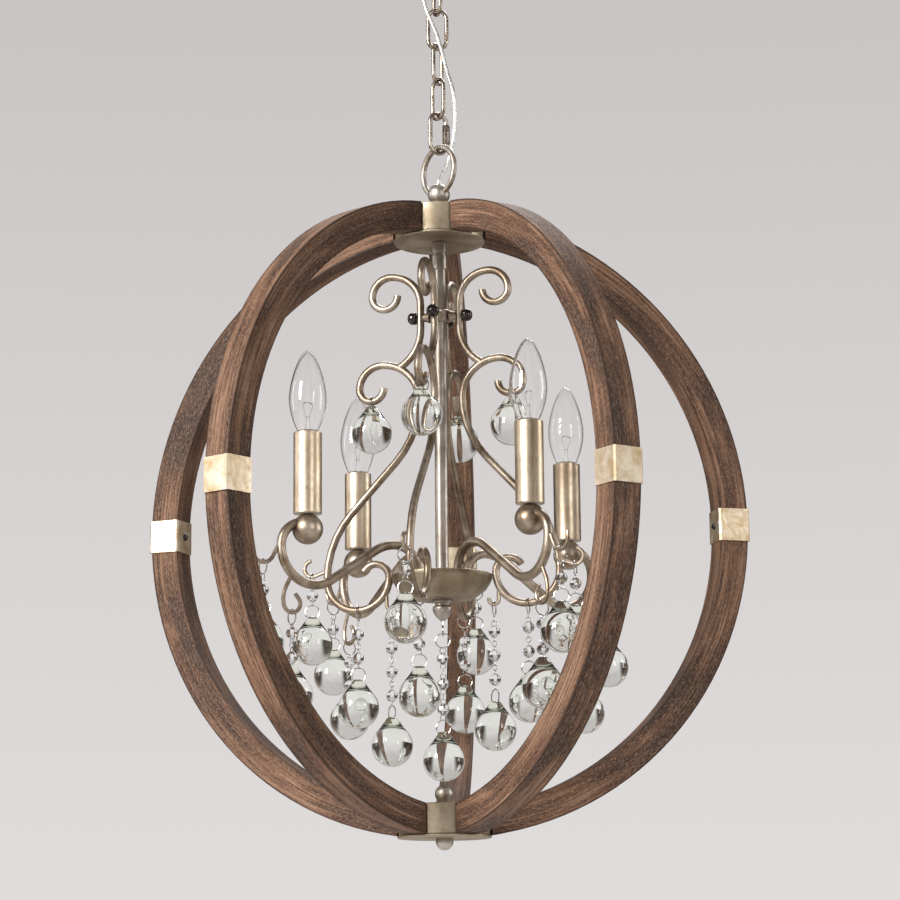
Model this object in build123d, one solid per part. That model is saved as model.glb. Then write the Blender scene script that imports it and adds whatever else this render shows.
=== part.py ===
from build123d import *
from math import asin, ceil, cos, degrees, pi, radians, sin, sqrt, tan
import os

# Orb chandelier, in millimetres, +Z up. The origin is on the ceiling, at the centre of the
# canopy. Pieces of the orb are drawn about the orb's centre and moved down by orb_z at the end.
# Azimuths are degrees from -Y towards +X.

# ---- fit between pieces
seat = 0.3            # pieces of different bodies, and round pieces that only rest
slip = 0.15           # a tube over a rod
kiss = 0.02           # flat faces that meet

# ---- orb frame
orb_radius = 275.0    # to the outside of the wood
rib_depth = 25.0      # radial
rib_width = 25.0
rib_edge = 1.5
rib_count = 5
rib_azimuth = 31.9
hub_radius = 38.5
plate_radius = 40.0
plate_thick = 2.0
sleeve_height = 28.5
sleeve_wall = 1.2
sleeve_play = 0.3
screw_head_radius = 3.4
screw_head_height = 2.2
screw_shank_radius = 1.8
screw_reach = 7.0

# ---- stem, collar and couplers
stem_radius = 5.6
stem_wall = 1.4
coupler_radius = 6.7
coupler_heights = (9.0, 13.0)
coupler_gap = 2.5
collar_height = 178.0     # above the orb's centre
collar_radius = 9.0
collar_length = 10.5

# ---- turned caps
cap_radius = 9.8
cap_neck = 7.0
cap_foot_radius = 8.2
cable_socket_depth = 3.2
inner_ball_radius = 7.9
inner_ball_neck = 2.2
outer_ball_radius = 7.5
outer_ball_sink = 5.0

# ---- bent rods
rod_sides = 6
bend_step = 26.0          # degrees between the chords of a bend
hook_sides = 4
harp_rod = 3.0            # radius
arm_rod = 3.9
hook_wire = 1.75
harp_count = 4
harp_azimuth = -15.0
arm_azimuths = (-56.0, 32.5, 124.0, -146.0)

# ---- dish and finial
dish_rim_radius = 43.5
dish_rim_height = -50.6
dish_floor_radius = 21.0
dish_depth = 21.5
dish_wall = 1.5
finial_radius = 8.5
finial_length = 18.0
eye_radius = 4.2
eye_wire = 0.9

# ---- candles
cup_radius = 13.0
arm_room = 196.0          # from the wood's inside back to where an arm's run starts
cup_grip = (5.0, 4.8)     # how far the arm's end passes the cup's centre, out and up
candle_radius = 12.0
candle_wall = 1.2
candle_length = 69.0
socket_radius = 9.0
nipple_bore = 2.0         # wire way through the socket's floor
base_radius = 6.0
base_length = 21.0
bulb_radius = 16.0
bulb_length = 70.0
bulb_wall = 0.9
bulb_sides = 12

# ---- crystal drops
drop_radius = 17.75
drop_neck = 24.5          # height of the neck's top above the ball's centre
drop_neck_radius = 3.6
drop_sides = 8
bead_radius = 5.3
bead_length = 10.0
bead_sides = 6
bead_pitch = 20.5
centre_gap = 2.3          # from the centre strand's ball to the ball on the bottom hub
ring_radius = 6.8         # outside of the thin rings
ring_wire = 1.2
ring_sides = 6
pin_radius = 0.7

# ---- chain, ring and canopy
canopy_radius = 62.0
canopy_height = 25.0
canopy_wall = 1.2
bar_length = 108.0
bar_width = 22.0
bar_thick = 2.5
bar_hole_spacing = 89.0
bar_hole_radius = 2.6
nipple_radius = 4.8
nut_radius = 9.0
nut_height = 5.0
loop_radius = 9.0         # to the middle of the wire
loop_wire = 2.25
link_length = 40.0
link_width = 20.0
link_wire = 1.8
quick_length = 40.0
quick_wire = 2.0
quick_nut_radius = 3.3
quick_nut_length = 17.5
ring_ring_radius = 21.5   # the large hanging ring, to the middle of the wire
ring_ring_wire = 2.5
ring_play = 0.6           # round the ring in the cap's cross hole
wire_sides = 6
link_azimuths = (20.0, 95.0, 153.0, 36.0)
quick_azimuth = 119.0
ring_azimuth = 39.0
loop_azimuth = 110.0

# ---- supply cable
cable_radius = 1.75
cable_hole = (-14.5, -8.0)

up = Vector(0, 0, 1)


# ---- shapes used again and again
def along(azimuth):
    """The level direction at an azimuth."""
    return Vector(sin(radians(azimuth)), -cos(radians(azimuth)), 0)


def around(piece, azimuth):
    """A piece drawn in the XZ plane, turned to an azimuth."""
    return Rot(0, 0, azimuth - 90) * piece


def skin(rings, closed):
    """A flat-sided solid through matching rings of points, capped unless it closes on itself."""
    faces = []
    pairs = list(zip(rings, rings[1:]))
    if closed:
        pairs.append((rings[-1], rings[0]))
    else:
        faces.append(Face(Wire.make_polygon(rings[0][::-1])))
        faces.append(Face(Wire.make_polygon(rings[-1])))
    for low, high in pairs:
        for i in range(len(low)):
            j = (i + 1) % len(low)
            faces.append(Face(Wire.make_polygon([low[i], low[j], high[j], high[i]])))
    return Solid(Shell(faces))


def turned(stations, sides):
    """A solid turned form with flat sides, from its heights and radii."""
    turns = [2 * pi * i / sides for i in range(sides)]
    return skin([[Vector(r * cos(a), r * sin(a), z) for a in turns] for z, r in stations], False)


def lathe(points, sides=24):
    """A turned form round a bore, from its closed outline in radius and height."""
    turns = [2 * pi * i / sides for i in range(sides)]
    return skin([[Vector(r * cos(a), r * sin(a), z) for r, z in points] for a in turns], True)


def tube(radius, bore, low, high, sides=24):
    """A round tube between two heights."""
    return lathe([(bore, low), (radius, low), (radius, high), (bore, high)], sides)


def sphere_stations(radius, low, high, steps):
    """Heights and radii of a ball between two latitudes."""
    angles = [radians(low + (high - low) * i / steps) for i in range(steps + 1)]
    return [(radius * sin(a), max(radius * cos(a), 0.4)) for a in angles]


def walk(start, heading, moves):
    """Corners of a bent rod's centre line and the turn at each: its bends are short chords
    tangent to their arcs. Each move is (bend radius, turn) or (0, length)."""
    x, z, h = start[0], start[1], heading
    corners = [(x, z, h, 0.0)]
    for bend, amount in moves:
        if bend == 0:
            x, z = x + amount * cos(radians(h)), z + amount * sin(radians(h))
            continue
        steps = ceil(abs(amount) / bend_step)
        turn = amount / steps
        half = bend * tan(radians(abs(turn) / 2))
        for _ in range(steps):
            x, z = x + half * cos(radians(h)), z + half * sin(radians(h))
            corners.append((x, z, h + turn / 2, turn))
            h = h + turn
            x, z = x + half * cos(radians(h)), z + half * sin(radians(h))
    corners.append((x, z, h, 0.0))
    return corners


def bent_rod(start, heading, moves, radius, sides, closed=False):
    """A rod bent in the XZ plane, mitred at every corner."""
    corners = walk(start, heading, moves)
    if closed:
        corners = corners[1:-1]
    rings = []
    for x, z, h, turn in corners:
        across = (-sin(radians(h)), cos(radians(h)))
        stretch = 1 / cos(radians(turn / 2))
        ring = []
        for i in range(sides):
            a = 2 * pi * (i + 0.5) / sides
            out = radius * cos(a) * stretch
            ring.append(Vector(x + across[0] * out, radius * sin(a), z + across[1] * out))
        rings.append(ring)
    return skin(rings, closed)


def rod_end(start, heading, moves):
    """Where a bent rod's centre line ends, and its heading there."""
    return walk(start, heading, moves)[-1][:3]


def stadium(length, width, wire, sides):
    """A chain link in the XZ plane about its centre, from its outside sizes and wire radius."""
    bend = width / 2 - wire
    leg = length - width
    round_trip = [(0, leg), (bend, 180), (0, leg), (bend, 180)]
    return bent_rod((bend, -leg / 2), 90, round_trip, wire, sides, closed=True)


def hoop(radius, wire, sides):
    """A round ring in the XZ plane about its centre."""
    return bent_rod((radius, 0), 90, [(radius, 360)], wire, sides, closed=True)


def wire_ring(radius, wire, sides=ring_sides):
    """A thin flat-sided ring in the XZ plane about its centre."""
    inside = radius - wire
    profile = [(inside, -wire / 2), (radius, -wire / 2), (radius, wire / 2), (inside, wire / 2)]
    return Rot(90, 0, 0) * Rot(0, 0, 180 / sides) * lathe(profile, sides)


def group(pieces):
    """Separate solids that share one node."""
    solids = []
    for piece in pieces:
        solids.extend(piece.solids())
    return Compound(children=solids)


# ---- orb frame: five ribs, each of two halves joined at the equator
inner_radius = orb_radius - rib_depth
rib_foot = hub_radius + seat
wood_top = sqrt(orb_radius**2 - rib_foot**2)
wood_under = sqrt(inner_radius**2 - plate_radius**2) - kiss
rib_azimuths = [rib_azimuth + 360 / rib_count * i for i in range(rib_count)]
screw_hole = screw_shank_radius + slip


def rib_half(sign):
    # The section lies level at the equator and sweeps up about the Y axis.
    level = Plane.XY * Pos((orb_radius + inner_radius) / 2, 0)
    outline = level * Rectangle(rib_depth, rib_width)
    half = revolve(outline, Axis((0, 0, 0), (0, -sign, 0)), 90)
    half = split(half, Plane.YZ.offset(rib_foot), keep=Keep.TOP)
    joint = Plane.XY.offset(sign * seat / 2)
    half = split(half, joint, keep=Keep.TOP if sign > 0 else Keep.BOTTOM)
    hole = Plane.YZ.offset(inner_radius - sleeve_wall - 1) * Circle(screw_hole)
    return half - extrude(hole, screw_reach + 1)


def rib_sleeve():
    inside_x = (inner_radius - sleeve_play * 2, orb_radius + sleeve_play)
    mid = (inside_x[0] + inside_x[1]) / 2
    depth = inside_x[1] - inside_x[0]
    width = rib_width + 2 * sleeve_play
    outer = Rectangle(depth + 2 * sleeve_wall, width + 2 * sleeve_wall)
    outer = chamfer(outer.vertices(), rib_edge)
    band = Pos(mid, 0) * (outer - Rectangle(depth, width))
    sleeve = extrude(Plane.XY.offset(-sleeve_height / 2) * band, sleeve_height)
    hole = Plane.YZ.offset(inside_x[0] - 2 * sleeve_wall) * Circle(screw_hole)
    return sleeve - extrude(hole, 3 * sleeve_wall)


def sleeve_screw():
    face = inner_radius - sleeve_play * 2 - sleeve_wall
    head = turned(
        [
            (-screw_reach + 1, screw_shank_radius),
            (kiss, screw_shank_radius),
            (2 * kiss, screw_head_radius),
            (screw_head_height * 0.6, screw_head_radius * 0.85),
            (screw_head_height, screw_head_radius * 0.4),
        ],
        rod_sides,
    )
    return Pos(face, 0, 0) * Rot(0, -90, 0) * head


upper_halves = group(around(rib_half(1), a) for a in rib_azimuths)
lower_halves = group(around(rib_half(-1), a) for a in rib_azimuths)
rib_sleeves = group(around(rib_sleeve(), a) for a in rib_azimuths)
sleeve_screws = group(around(sleeve_screw(), a) for a in rib_azimuths)


def hub(low, high, bore):
    edge = 1.0
    return lathe(
        [
            (bore, low),
            (hub_radius - edge, low),
            (hub_radius, low + edge),
            (hub_radius, high - edge),
            (hub_radius - edge, high),
            (bore, high),
        ]
    )


stem_bore = stem_radius + slip
bolt_radius = 4.0
bolt_bore = bolt_radius + slip
lower_top = -wood_under
lower_bottom = -wood_top - seat
top_hub = hub(wood_under, wood_top, stem_bore)
bottom_hub = hub(lower_bottom, lower_top, bolt_bore)
top_plate = tube(plate_radius, stem_bore, wood_under - kiss - plate_thick, wood_under - kiss)
bottom_plate = tube(plate_radius, bolt_bore, lower_bottom - kiss - plate_thick, lower_bottom - kiss)
rib_plates = group([top_plate, bottom_plate])

# The two balls of the bottom hub: one on a short neck above it, one sunk against the plate.
ball_foot = lower_top + kiss
inner_centre = ball_foot + inner_ball_neck + inner_ball_radius * 0.9
inner_ball_top = inner_centre + inner_ball_radius
upper_ball = turned(
    [(ball_foot, 6.0), (ball_foot + inner_ball_neck * 0.6, 6.0), (ball_foot + inner_ball_neck, 4.2)]
    + [(inner_centre + z, r) for z, r in sphere_stations(inner_ball_radius, -50, 90, 6)],
    bulb_sides,
)
plate_face = lower_bottom - kiss - plate_thick
bolt = extrude(Plane.XY.offset(plate_face) * Circle(bolt_radius), lower_top - plate_face)
outer_centre = plate_face - kiss - outer_ball_radius + outer_ball_sink
sink_angle = degrees(asin((outer_ball_radius - outer_ball_sink) / outer_ball_radius))
lower_ball = turned(
    [(outer_centre + z, r) for z, r in sphere_stations(outer_ball_radius, -90, sink_angle, 6)],
    bulb_sides,
)
hub_balls = group([upper_ball, lower_ball + bolt])

# Ball cap on the top hub, with a flared cross hole for the hanging ring.
cap_centre = wood_top + kiss + cap_neck + cap_radius
cap_turning = turned(
    [
        (wood_top + kiss, cap_foot_radius),
        (wood_top + 2.0, cap_foot_radius),
        (wood_top + 3.0, 5.6),
        (cap_centre - cap_radius * 0.87, 5.0),
    ]
    + [(cap_centre + z, r) for z, r in sphere_stations(cap_radius, -55, 90, 8)],
    16,
)
flare = ring_ring_radius - ring_ring_wire - ring_play
hole_reach = cap_radius + 1
hole_steps = 4
hole_places = [hole_reach * i / hole_steps for i in range(-hole_steps, hole_steps + 1)]
hole_flat = cos(pi / bulb_sides)
hole_stations = [(x, (ring_ring_radius - sqrt(flare**2 - x**2)) / hole_flat) for x in hole_places]
cross_hole = Pos(0, 0, cap_centre) * Rot(0, 90, 0) * turned(hole_stations, bulb_sides)
cable_socket = extrude(
    Plane.XY.offset(cap_centre + cap_radius - cable_socket_depth) * Circle(cable_radius + seat), 10
)
ball_cap = cap_turning - around(cross_hole, ring_azimuth) - cable_socket

# ---- stem from inside the top hub down to the dish, with its couplers and collar
dish_floor = dish_rim_height - dish_depth
stem_top = wood_top
stem_foot = dish_floor + kiss
stem = tube(stem_radius, stem_radius - stem_wall, stem_foot, stem_top, bulb_sides)


def sleeve_on_stem(top, length, radius):
    edge = 0.4 * (radius - stem_bore)
    return lathe(
        [
            (stem_bore, top - length),
            (radius - edge, top - length),
            (radius, top - length + edge),
            (radius, top - edge),
            (radius - edge, top),
            (stem_bore, top),
        ],
        bulb_sides,
    )


coupler_top = wood_under - kiss - plate_thick - kiss
first, second = coupler_heights
couplers = group(
    [
        sleeve_on_stem(coupler_top, first, coupler_radius),
        sleeve_on_stem(coupler_top - first - coupler_gap, second, coupler_radius),
    ]
)
collar_top = collar_height + collar_length / 2
stem_collar = sleeve_on_stem(collar_top, collar_length, collar_radius)

# ---- harp rods: an upper rod with the top scroll and a lower rod with the mid scroll and foot
harp_neck = 17.5          # from the axis to the upper rod where the collar holds it
top_curl = (11.5, 17.5, 26.5)
top_start = (harp_neck + top_curl[2] + top_curl[1] - 2 * top_curl[0], collar_height + 21.5)
top_turn_height = top_start[1] - (top_curl[2] - top_curl[1])
upper_moves = [
    (top_curl[0], 180),
    (top_curl[1], 90),
    (top_curl[2], 90),
    (0, top_turn_height - collar_height + 10.0),
    (38.0, 60),
]
mid_curl = (11.0, 21.0, 33.0)
mid_start = (51.5, collar_height - 61.0)
foot_curl = (28.0, 12.0)
leg_drop = 8.0
lower_moves = [
    (mid_curl[0], 90),
    (mid_curl[0], 90),
    (mid_curl[1], 90),
    (mid_curl[2], 90),
    (80.0, 43),
    (0, 58.0),
    (85.0, -43),
    (foot_curl[0], -90),
    (foot_curl[0], -90),
    (foot_curl[1], -150),
]
leg_end = rod_end(mid_start, -90, lower_moves[:7])
foot_centre = (leg_end[0] - foot_curl[0], leg_end[1])
foot_bottom = (foot_centre[0], foot_centre[1] - foot_curl[0])
mid_bottom = (mid_start[0] + mid_curl[0], mid_start[1] - mid_curl[0])


def on_foot(angle):
    """A point on the outside of the harp's foot scroll."""
    reach = foot_curl[0] + harp_rod * cos(pi / rod_sides)
    return (
        foot_centre[0] + reach * cos(radians(angle)),
        foot_centre[1] + reach * sin(radians(angle)),
    )


harp_j_start = on_foot(14)
harp_j_moves = [(0, 10.0), (7.0, 20), (7.0, 170)]
harp_j_heading = -20
harp_j_dip = rod_end(harp_j_start, harp_j_heading, harp_j_moves[:2])
harp_curl_start = on_foot(213)
harp_curl_moves = [(0, 7.0), (4.2, -90), (4.2, -110)]
harp_curl_heading = -90
harp_curl_dip = rod_end(harp_curl_start, harp_curl_heading, harp_curl_moves[:2])


def harp():
    upper = bent_rod(top_start, -90, upper_moves, harp_rod, rod_sides)
    lower = bent_rod(mid_start, -90, lower_moves, harp_rod, rod_sides)
    outer = bent_rod(harp_j_start, harp_j_heading, harp_j_moves, hook_wire, hook_sides)
    return upper + lower + outer


def harp_inner_hook():
    hook = bent_rod(harp_curl_start, harp_curl_heading, harp_curl_moves, hook_wire, hook_sides)
    return hook


harp_azimuths = [harp_azimuth + 90 * i for i in range(harp_count)]
side_harps = (harp_azimuths[1], harp_azimuths[3])
harp_solids = []
for azimuth in harp_azimuths:
    rod = harp()
    if azimuth in side_harps:
        rod = rod + harp_inner_hook()
    harp_solids.append(around(rod, azimuth))
harp_rods = group(harp_solids)

# Collar screws: a cone between collar and rod, and a button head outside the rod.
rod_flat = harp_rod * cos(pi / rod_sides)
cone_length = harp_neck - rod_flat - collar_radius - 2 * kiss
cone = turned([(0, 5.2), (cone_length, 3.2)], rod_sides * 2)
cone = Pos(collar_radius + kiss, 0, collar_height) * Rot(0, 90, 0) * cone
head = turned([(0, 4.0), (1.5, 5.4), (4.5, 5.4), (7.5, 4.0), (9.0, 1.5)], rod_sides * 2)
head = Pos(harp_neck + rod_flat + kiss, 0, collar_height) * Rot(0, 90, 0) * head
collar_screws = group(around(p, a) for a in harp_azimuths for p in (cone, head))

# ---- candle arms: out of the dish, over a crest, down and up into the cup from outside
arm_foot = (24.6, dish_floor + dish_wall + 2.92)
arm_crest_bend = (22.0, 38.0)
arm_moves_out = [
    (0, 17.5),
    (arm_crest_bend[0], -90),
    (arm_crest_bend[1], -33),
    (0, inner_radius - arm_room),
    (31.0, 33),
    (31.0, 90),
    (20.5, 90),
]
arm_end = rod_end(arm_foot, 90, arm_moves_out)
arm_low_start = rod_end(arm_foot, 90, arm_moves_out[:5])
cup_reach = arm_end[0] - cup_grip[0]
cup_height = arm_end[1] - cup_grip[1]
arm_bend_centre = (arm_low_start[0], arm_low_start[1] + 31.0)


def on_arm(angle):
    """A point on the outside of the arm's low bend."""
    reach = 31.0 + arm_rod * cos(pi / rod_sides)
    return (
        arm_bend_centre[0] + reach * cos(radians(angle)),
        arm_bend_centre[1] + reach * sin(radians(angle)),
    )


arm_j_start = on_arm(-2)
arm_j_heading = -62
arm_j_moves = [(0, 10.0), (10.5, 62), (10.5, 108)]
arm_j_dip = rod_end(arm_j_start, arm_j_heading, arm_j_moves[:2])
tear_start = on_arm(-50)
tear_heading = -62
tear_moves = [(0, 9.0), (22.0, -40), (8.0, -78), (8.0, -92), (6.0, -40), (0, 5.0)]
tear_dip = rod_end(tear_start, tear_heading, tear_moves[:3])


def arm():
    rod = bent_rod(arm_foot, 90, arm_moves_out, arm_rod, rod_sides)
    outer = bent_rod(arm_j_start, arm_j_heading, arm_j_moves, hook_wire, hook_sides)
    lower = bent_rod(tear_start, tear_heading, tear_moves, hook_wire, hook_sides)
    return rod + outer + lower


arm_rod_solid = arm()
candle_arms = group(around(arm_rod_solid, a) for a in arm_azimuths)

# ---- candles: cup ball, paper-thin sleeve, socket and bulb
cup = Pos(cup_reach, 0, cup_height) * turned(sphere_stations(cup_radius, -90, 78, 7), bulb_sides)
# The arm's end enters the cup's side, so the cup has its bore there.
arm_passage = bent_rod(arm_foot, 90, arm_moves_out, arm_rod + kiss, rod_sides)
cup = cup - arm_passage
cup_top = cup_height + cup_radius * sin(radians(78))
candle_foot = cup_top + kiss
candle_top = candle_foot + candle_length
candle_tube = tube(candle_radius, candle_radius - candle_wall, candle_foot, candle_top, bulb_sides)
socket_top = candle_top - 3.0
socket_bore = base_radius + slip
base_foot = candle_top - base_length
socket_floor = base_foot - 1.0
socket = lathe(
    [
        (nipple_bore, candle_foot),
        (candle_radius - candle_wall - slip, candle_foot),
        (candle_radius - candle_wall - slip, candle_foot + 2.0),
        (socket_radius, candle_foot + 2.0),
        (socket_radius, socket_top),
        (socket_bore, socket_top),
        (socket_bore, socket_floor),
        (nipple_bore, socket_floor),
    ],
    bulb_sides,
)
base_top = candle_top + 1.0
bulb_base = turned(
    [(base_foot, 3.0), (base_foot + 2.0, base_radius), (base_top, base_radius)],
    bulb_sides,
)
glass_profile = [
    (0.0, 0.42),
    (0.08, 0.55),
    (0.22, 0.88),
    (0.36, 1.0),
    (0.50, 0.96),
    (0.66, 0.78),
    (0.82, 0.47),
    (0.94, 0.18),
    (1.0, 0.04),
]
glass_foot = base_top + kiss
outer_glass = [(glass_foot + t * bulb_length, r * bulb_radius) for t, r in glass_profile]
inner_glass = [
    (glass_foot + bulb_wall + t * (bulb_length - 2.5 * bulb_wall), r * (bulb_radius - bulb_wall))
    for t, r in glass_profile[:-1]
]
glass = turned(outer_glass, bulb_sides) - turned(inner_glass, bulb_sides)
mount_foot = glass_foot + bulb_wall + kiss
filament_height = 34.0
filament = turned(
    [(mount_foot, 3.4), (mount_foot + 12, 1.6), (mount_foot + filament_height, 0.8)], rod_sides
)


def on_arms(piece):
    return group(around(Pos(cup_reach, 0, 0) * piece, a) for a in arm_azimuths)


candle_cups = group(around(cup, a) for a in arm_azimuths)
candle_sleeves = on_arms(candle_tube)
lamp_sockets = on_arms(socket)
bulb_bases = on_arms(bulb_base)
bulbs = on_arms(glass)
bulb_filaments = on_arms(filament)

# ---- dish, finial and the eye that carries the centre strand
dish = lathe(
    [
        (stem_bore, dish_floor),
        (dish_floor_radius, dish_floor),
        (dish_floor_radius + 9.0, dish_floor + 3.2),
        (dish_floor_radius + 16.5, dish_floor + 8.6),
        (dish_rim_radius - 1.0, dish_rim_height - 4.5),
        (dish_rim_radius, dish_rim_height),
        (dish_rim_radius - dish_wall, dish_rim_height),
        (dish_rim_radius - 1.0 - dish_wall, dish_rim_height - 4.0),
        (dish_floor_radius + 15.7, dish_floor + 9.9),
        (dish_floor_radius + 8.6, dish_floor + 4.7),
        (dish_floor_radius, dish_floor + dish_wall),
        (stem_bore, dish_floor + dish_wall),
    ]
)
finial_top = dish_floor - kiss
finial = turned(
    [
        (finial_top - finial_length, 2.2),
        (finial_top - finial_length * 0.86, finial_radius * 0.62),
        (finial_top - finial_length * 0.68, finial_radius * 0.95),
        (finial_top - finial_length * 0.52, finial_radius),
        (finial_top - finial_length * 0.36, finial_radius * 0.9),
        (finial_top - finial_length * 0.24, finial_radius * 0.6),
        (finial_top - finial_length * 0.14, finial_radius * 0.6),
        (finial_top - finial_length * 0.10, finial_radius * 0.8),
        (finial_top, finial_radius * 0.8),
    ],
    16,
)
eye_top = finial_top - finial_length - kiss
eye_shank = 4.0
eye_centre = eye_top - eye_shank - eye_radius
eye_ring = Pos(0, 0, eye_centre) * hoop(eye_radius, eye_wire, wire_sides)
shank = extrude(
    Plane.XY.offset(eye_centre + eye_radius) * RegularPolygon(eye_wire, wire_sides), eye_shank
)
centre_eye = Rot(0, 0, 90) * (eye_ring + shank)
eye_dip = eye_centre - eye_radius


# ---- crystal drops: a ring over the hook, beads, a second ring and the pear-shaped ball
def crystal_drop(carrier, beads, first, last, lower_ring, ring_turn=0.0, pitch=bead_pitch):
    """Drawn below the carrier's wire at the origin; the upper ring lies in the XZ plane."""
    inside = ring_radius - ring_wire
    flat = cos(pi / ring_sides)
    ring_centre = carrier + seat - inside * flat
    bead_heights = [-first - pitch * i for i in range(beads)]
    ball = (bead_heights[-1] if beads else 0.0) - last
    neck_top = ball + drop_neck
    drop = Pos(0, 0, ring_centre) * wire_ring(ring_radius, ring_wire)
    ball_form = turned(
        [(ball + z, r) for z, r in sphere_stations(drop_radius, -90, 38, 4)]
        + [(neck_top - 6.0, drop_neck_radius * 2.0), (neck_top, drop_neck_radius)],
        drop_sides,
    )
    drop = drop + ball_form
    foot = neck_top - 1.5
    if lower_ring:
        low_centre = neck_top - 3.0 + ring_radius
        low_ring = Pos(0, 0, low_centre) * Rot(0, 0, ring_turn) * wire_ring(ring_radius, ring_wire)
        drop = drop + low_ring
        foot = low_centre + (ring_radius - ring_wire / 2) * flat
    top = ring_centre - (ring_radius - ring_wire / 2) * flat
    if beads:
        drop = drop + turned([(foot, pin_radius), (top, pin_radius)], bead_sides)
        half = bead_length / 2
        for z in bead_heights:
            bead = turned(
                [
                    (z - half, 1.6),
                    (z - half * 0.35, bead_radius),
                    (z + half * 0.35, bead_radius),
                    (z + half, 1.6),
                ],
                bead_sides,
            )
            drop = drop + bead
    return drop


drop_last = 42.5
drops = {}


def hang(name, azimuth, reach, height, drop):
    """Places a drop on its hook: its upper ring stands across the hook's wire."""
    spot = along(azimuth) * reach + up * height
    drops[name] = (Pos(spot) * Rot(0, 0, azimuth) * drop, azimuth, reach, height)


for i, azimuth in enumerate(arm_azimuths):
    hang(f"arm_drop_{i + 1}", azimuth, arm_j_dip[0], arm_j_dip[1],
         crystal_drop(hook_wire, 1, 23.5, drop_last, True, -azimuth))
    hang(f"arm_low_drop_{i + 1}", azimuth, tear_dip[0], tear_dip[1],
         crystal_drop(hook_wire, 2, 17.0, 31.0, False))
inner_drop_first = {harp_azimuths[1]: 23.5, harp_azimuths[3]: 34.0}
for i, azimuth in enumerate(harp_azimuths):
    hang(f"harp_drop_{i + 1}", azimuth, harp_j_dip[0], harp_j_dip[1],
         crystal_drop(hook_wire, 1, 17.0, drop_last, True, -azimuth))
    hang(f"harp_low_drop_{i + 1}", azimuth, foot_bottom[0], foot_bottom[1],
         crystal_drop(harp_rod, 2, 21.0, drop_last, True, -azimuth))
    hang(f"scroll_drop_{i + 1}", azimuth, mid_bottom[0], mid_bottom[1],
         crystal_drop(harp_rod, 0, 0.0, 28.5, False))
    if azimuth in side_harps:
        hang(f"harp_inner_drop_{i + 1}", azimuth, harp_curl_dip[0], harp_curl_dip[1],
             crystal_drop(hook_wire, 3, inner_drop_first[azimuth], drop_last, True, 45.0))
centre_first = 20.0
centre_last = 43.5
centre_room = eye_dip - centre_first - centre_last - drop_radius - centre_gap - inner_ball_top
centre_strand = crystal_drop(
    eye_wire, 3, centre_first, centre_last, True, 0.0, centre_room / 2
)
hang("centre_drop", 0.0, 0.0, eye_dip, centre_strand)

# ---- ceiling canopy, its bar, the nipple with the loop, and the nut under the canopy
bar = extrude(Plane.XY.offset(-bar_thick) * Rectangle(bar_length, bar_width), bar_thick)
bar = chamfer(bar.edges().filter_by(Axis.Z), 4.0)
for side in (-1, 1):
    bolt_hole = Plane.XY.offset(-bar_thick * 2) * Pos(side * bar_hole_spacing / 2, 0)
    bar = bar - extrude(bolt_hole * Circle(bar_hole_radius), bar_thick * 3)
bar = bar - extrude(Plane.XY.offset(-bar_thick * 2) * Circle(nipple_radius + slip), bar_thick * 3)

canopy_crown = 16.0
canopy = lathe(
    [
        (nipple_radius + slip, -canopy_height),
        (canopy_crown, -canopy_height),
        (canopy_radius * 0.62, -canopy_height * 0.86),
        (canopy_radius * 0.88, -canopy_height * 0.52),
        (canopy_radius, -canopy_height * 0.12),
        (canopy_radius, 0),
        (canopy_radius - canopy_wall, 0),
        (canopy_radius - canopy_wall, -canopy_height * 0.12),
        (canopy_radius * 0.88 - canopy_wall, -canopy_height * 0.50),
        (canopy_radius * 0.62 - canopy_wall * 0.5, -canopy_height * 0.86 + canopy_wall),
        (canopy_crown, -canopy_height + canopy_wall),
        (nipple_radius + slip, -canopy_height + canopy_wall),
    ]
)
cable_bore = Plane.XY.offset(-canopy_height - 5) * Pos(*cable_hole) * Circle(cable_radius + seat)
canopy = canopy - extrude(cable_bore, canopy_height)

nut_top = -canopy_height - kiss
canopy_nut = turned([(nut_top - nut_height, nut_radius * 0.9), (nut_top - nut_height * 0.8, nut_radius),
                     (nut_top - nut_height * 0.2, nut_radius), (nut_top, nut_radius * 0.9)], bulb_sides)
canopy_nut = canopy_nut - extrude(
    Plane.XY.offset(nut_top - nut_height - 1) * Circle(nipple_radius + slip), nut_height + 2
)
nipple_foot = nut_top - nut_height - 1.5
loop_centre = nipple_foot - loop_radius
nipple = extrude(Plane.XY.offset(nipple_foot) * Circle(nipple_radius), -nipple_foot)
nipple_hat = turned([(nipple_foot - 2.0, 3.0), (nipple_foot, nipple_radius + 1.0),
                     (nipple_foot + 1.4, nipple_radius + 1.0)], bulb_sides)
loop_ring = Pos(0, 0, loop_centre) * hoop(loop_radius, loop_wire, wire_sides)
hanging_loop = nipple + nipple_hat + around(loop_ring, loop_azimuth)
loop_dip = loop_centre - loop_radius

# ---- chain links, quick link and hanging ring, each hung in the one above
link_turn = link_length / 2 - link_wire
link_form = stadium(link_length, link_width, link_wire, wire_sides)
link_spots = []
dip, dip_wire = loop_dip, loop_wire
for azimuth in link_azimuths:
    top = dip + dip_wire + link_wire + seat
    link_spots.append((azimuth, top - link_turn, dip))
    dip, dip_wire = top - 2 * link_turn, link_wire
chain_links = [Pos(0, 0, z) * around(link_form, azimuth) for azimuth, z, _ in link_spots]

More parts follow.
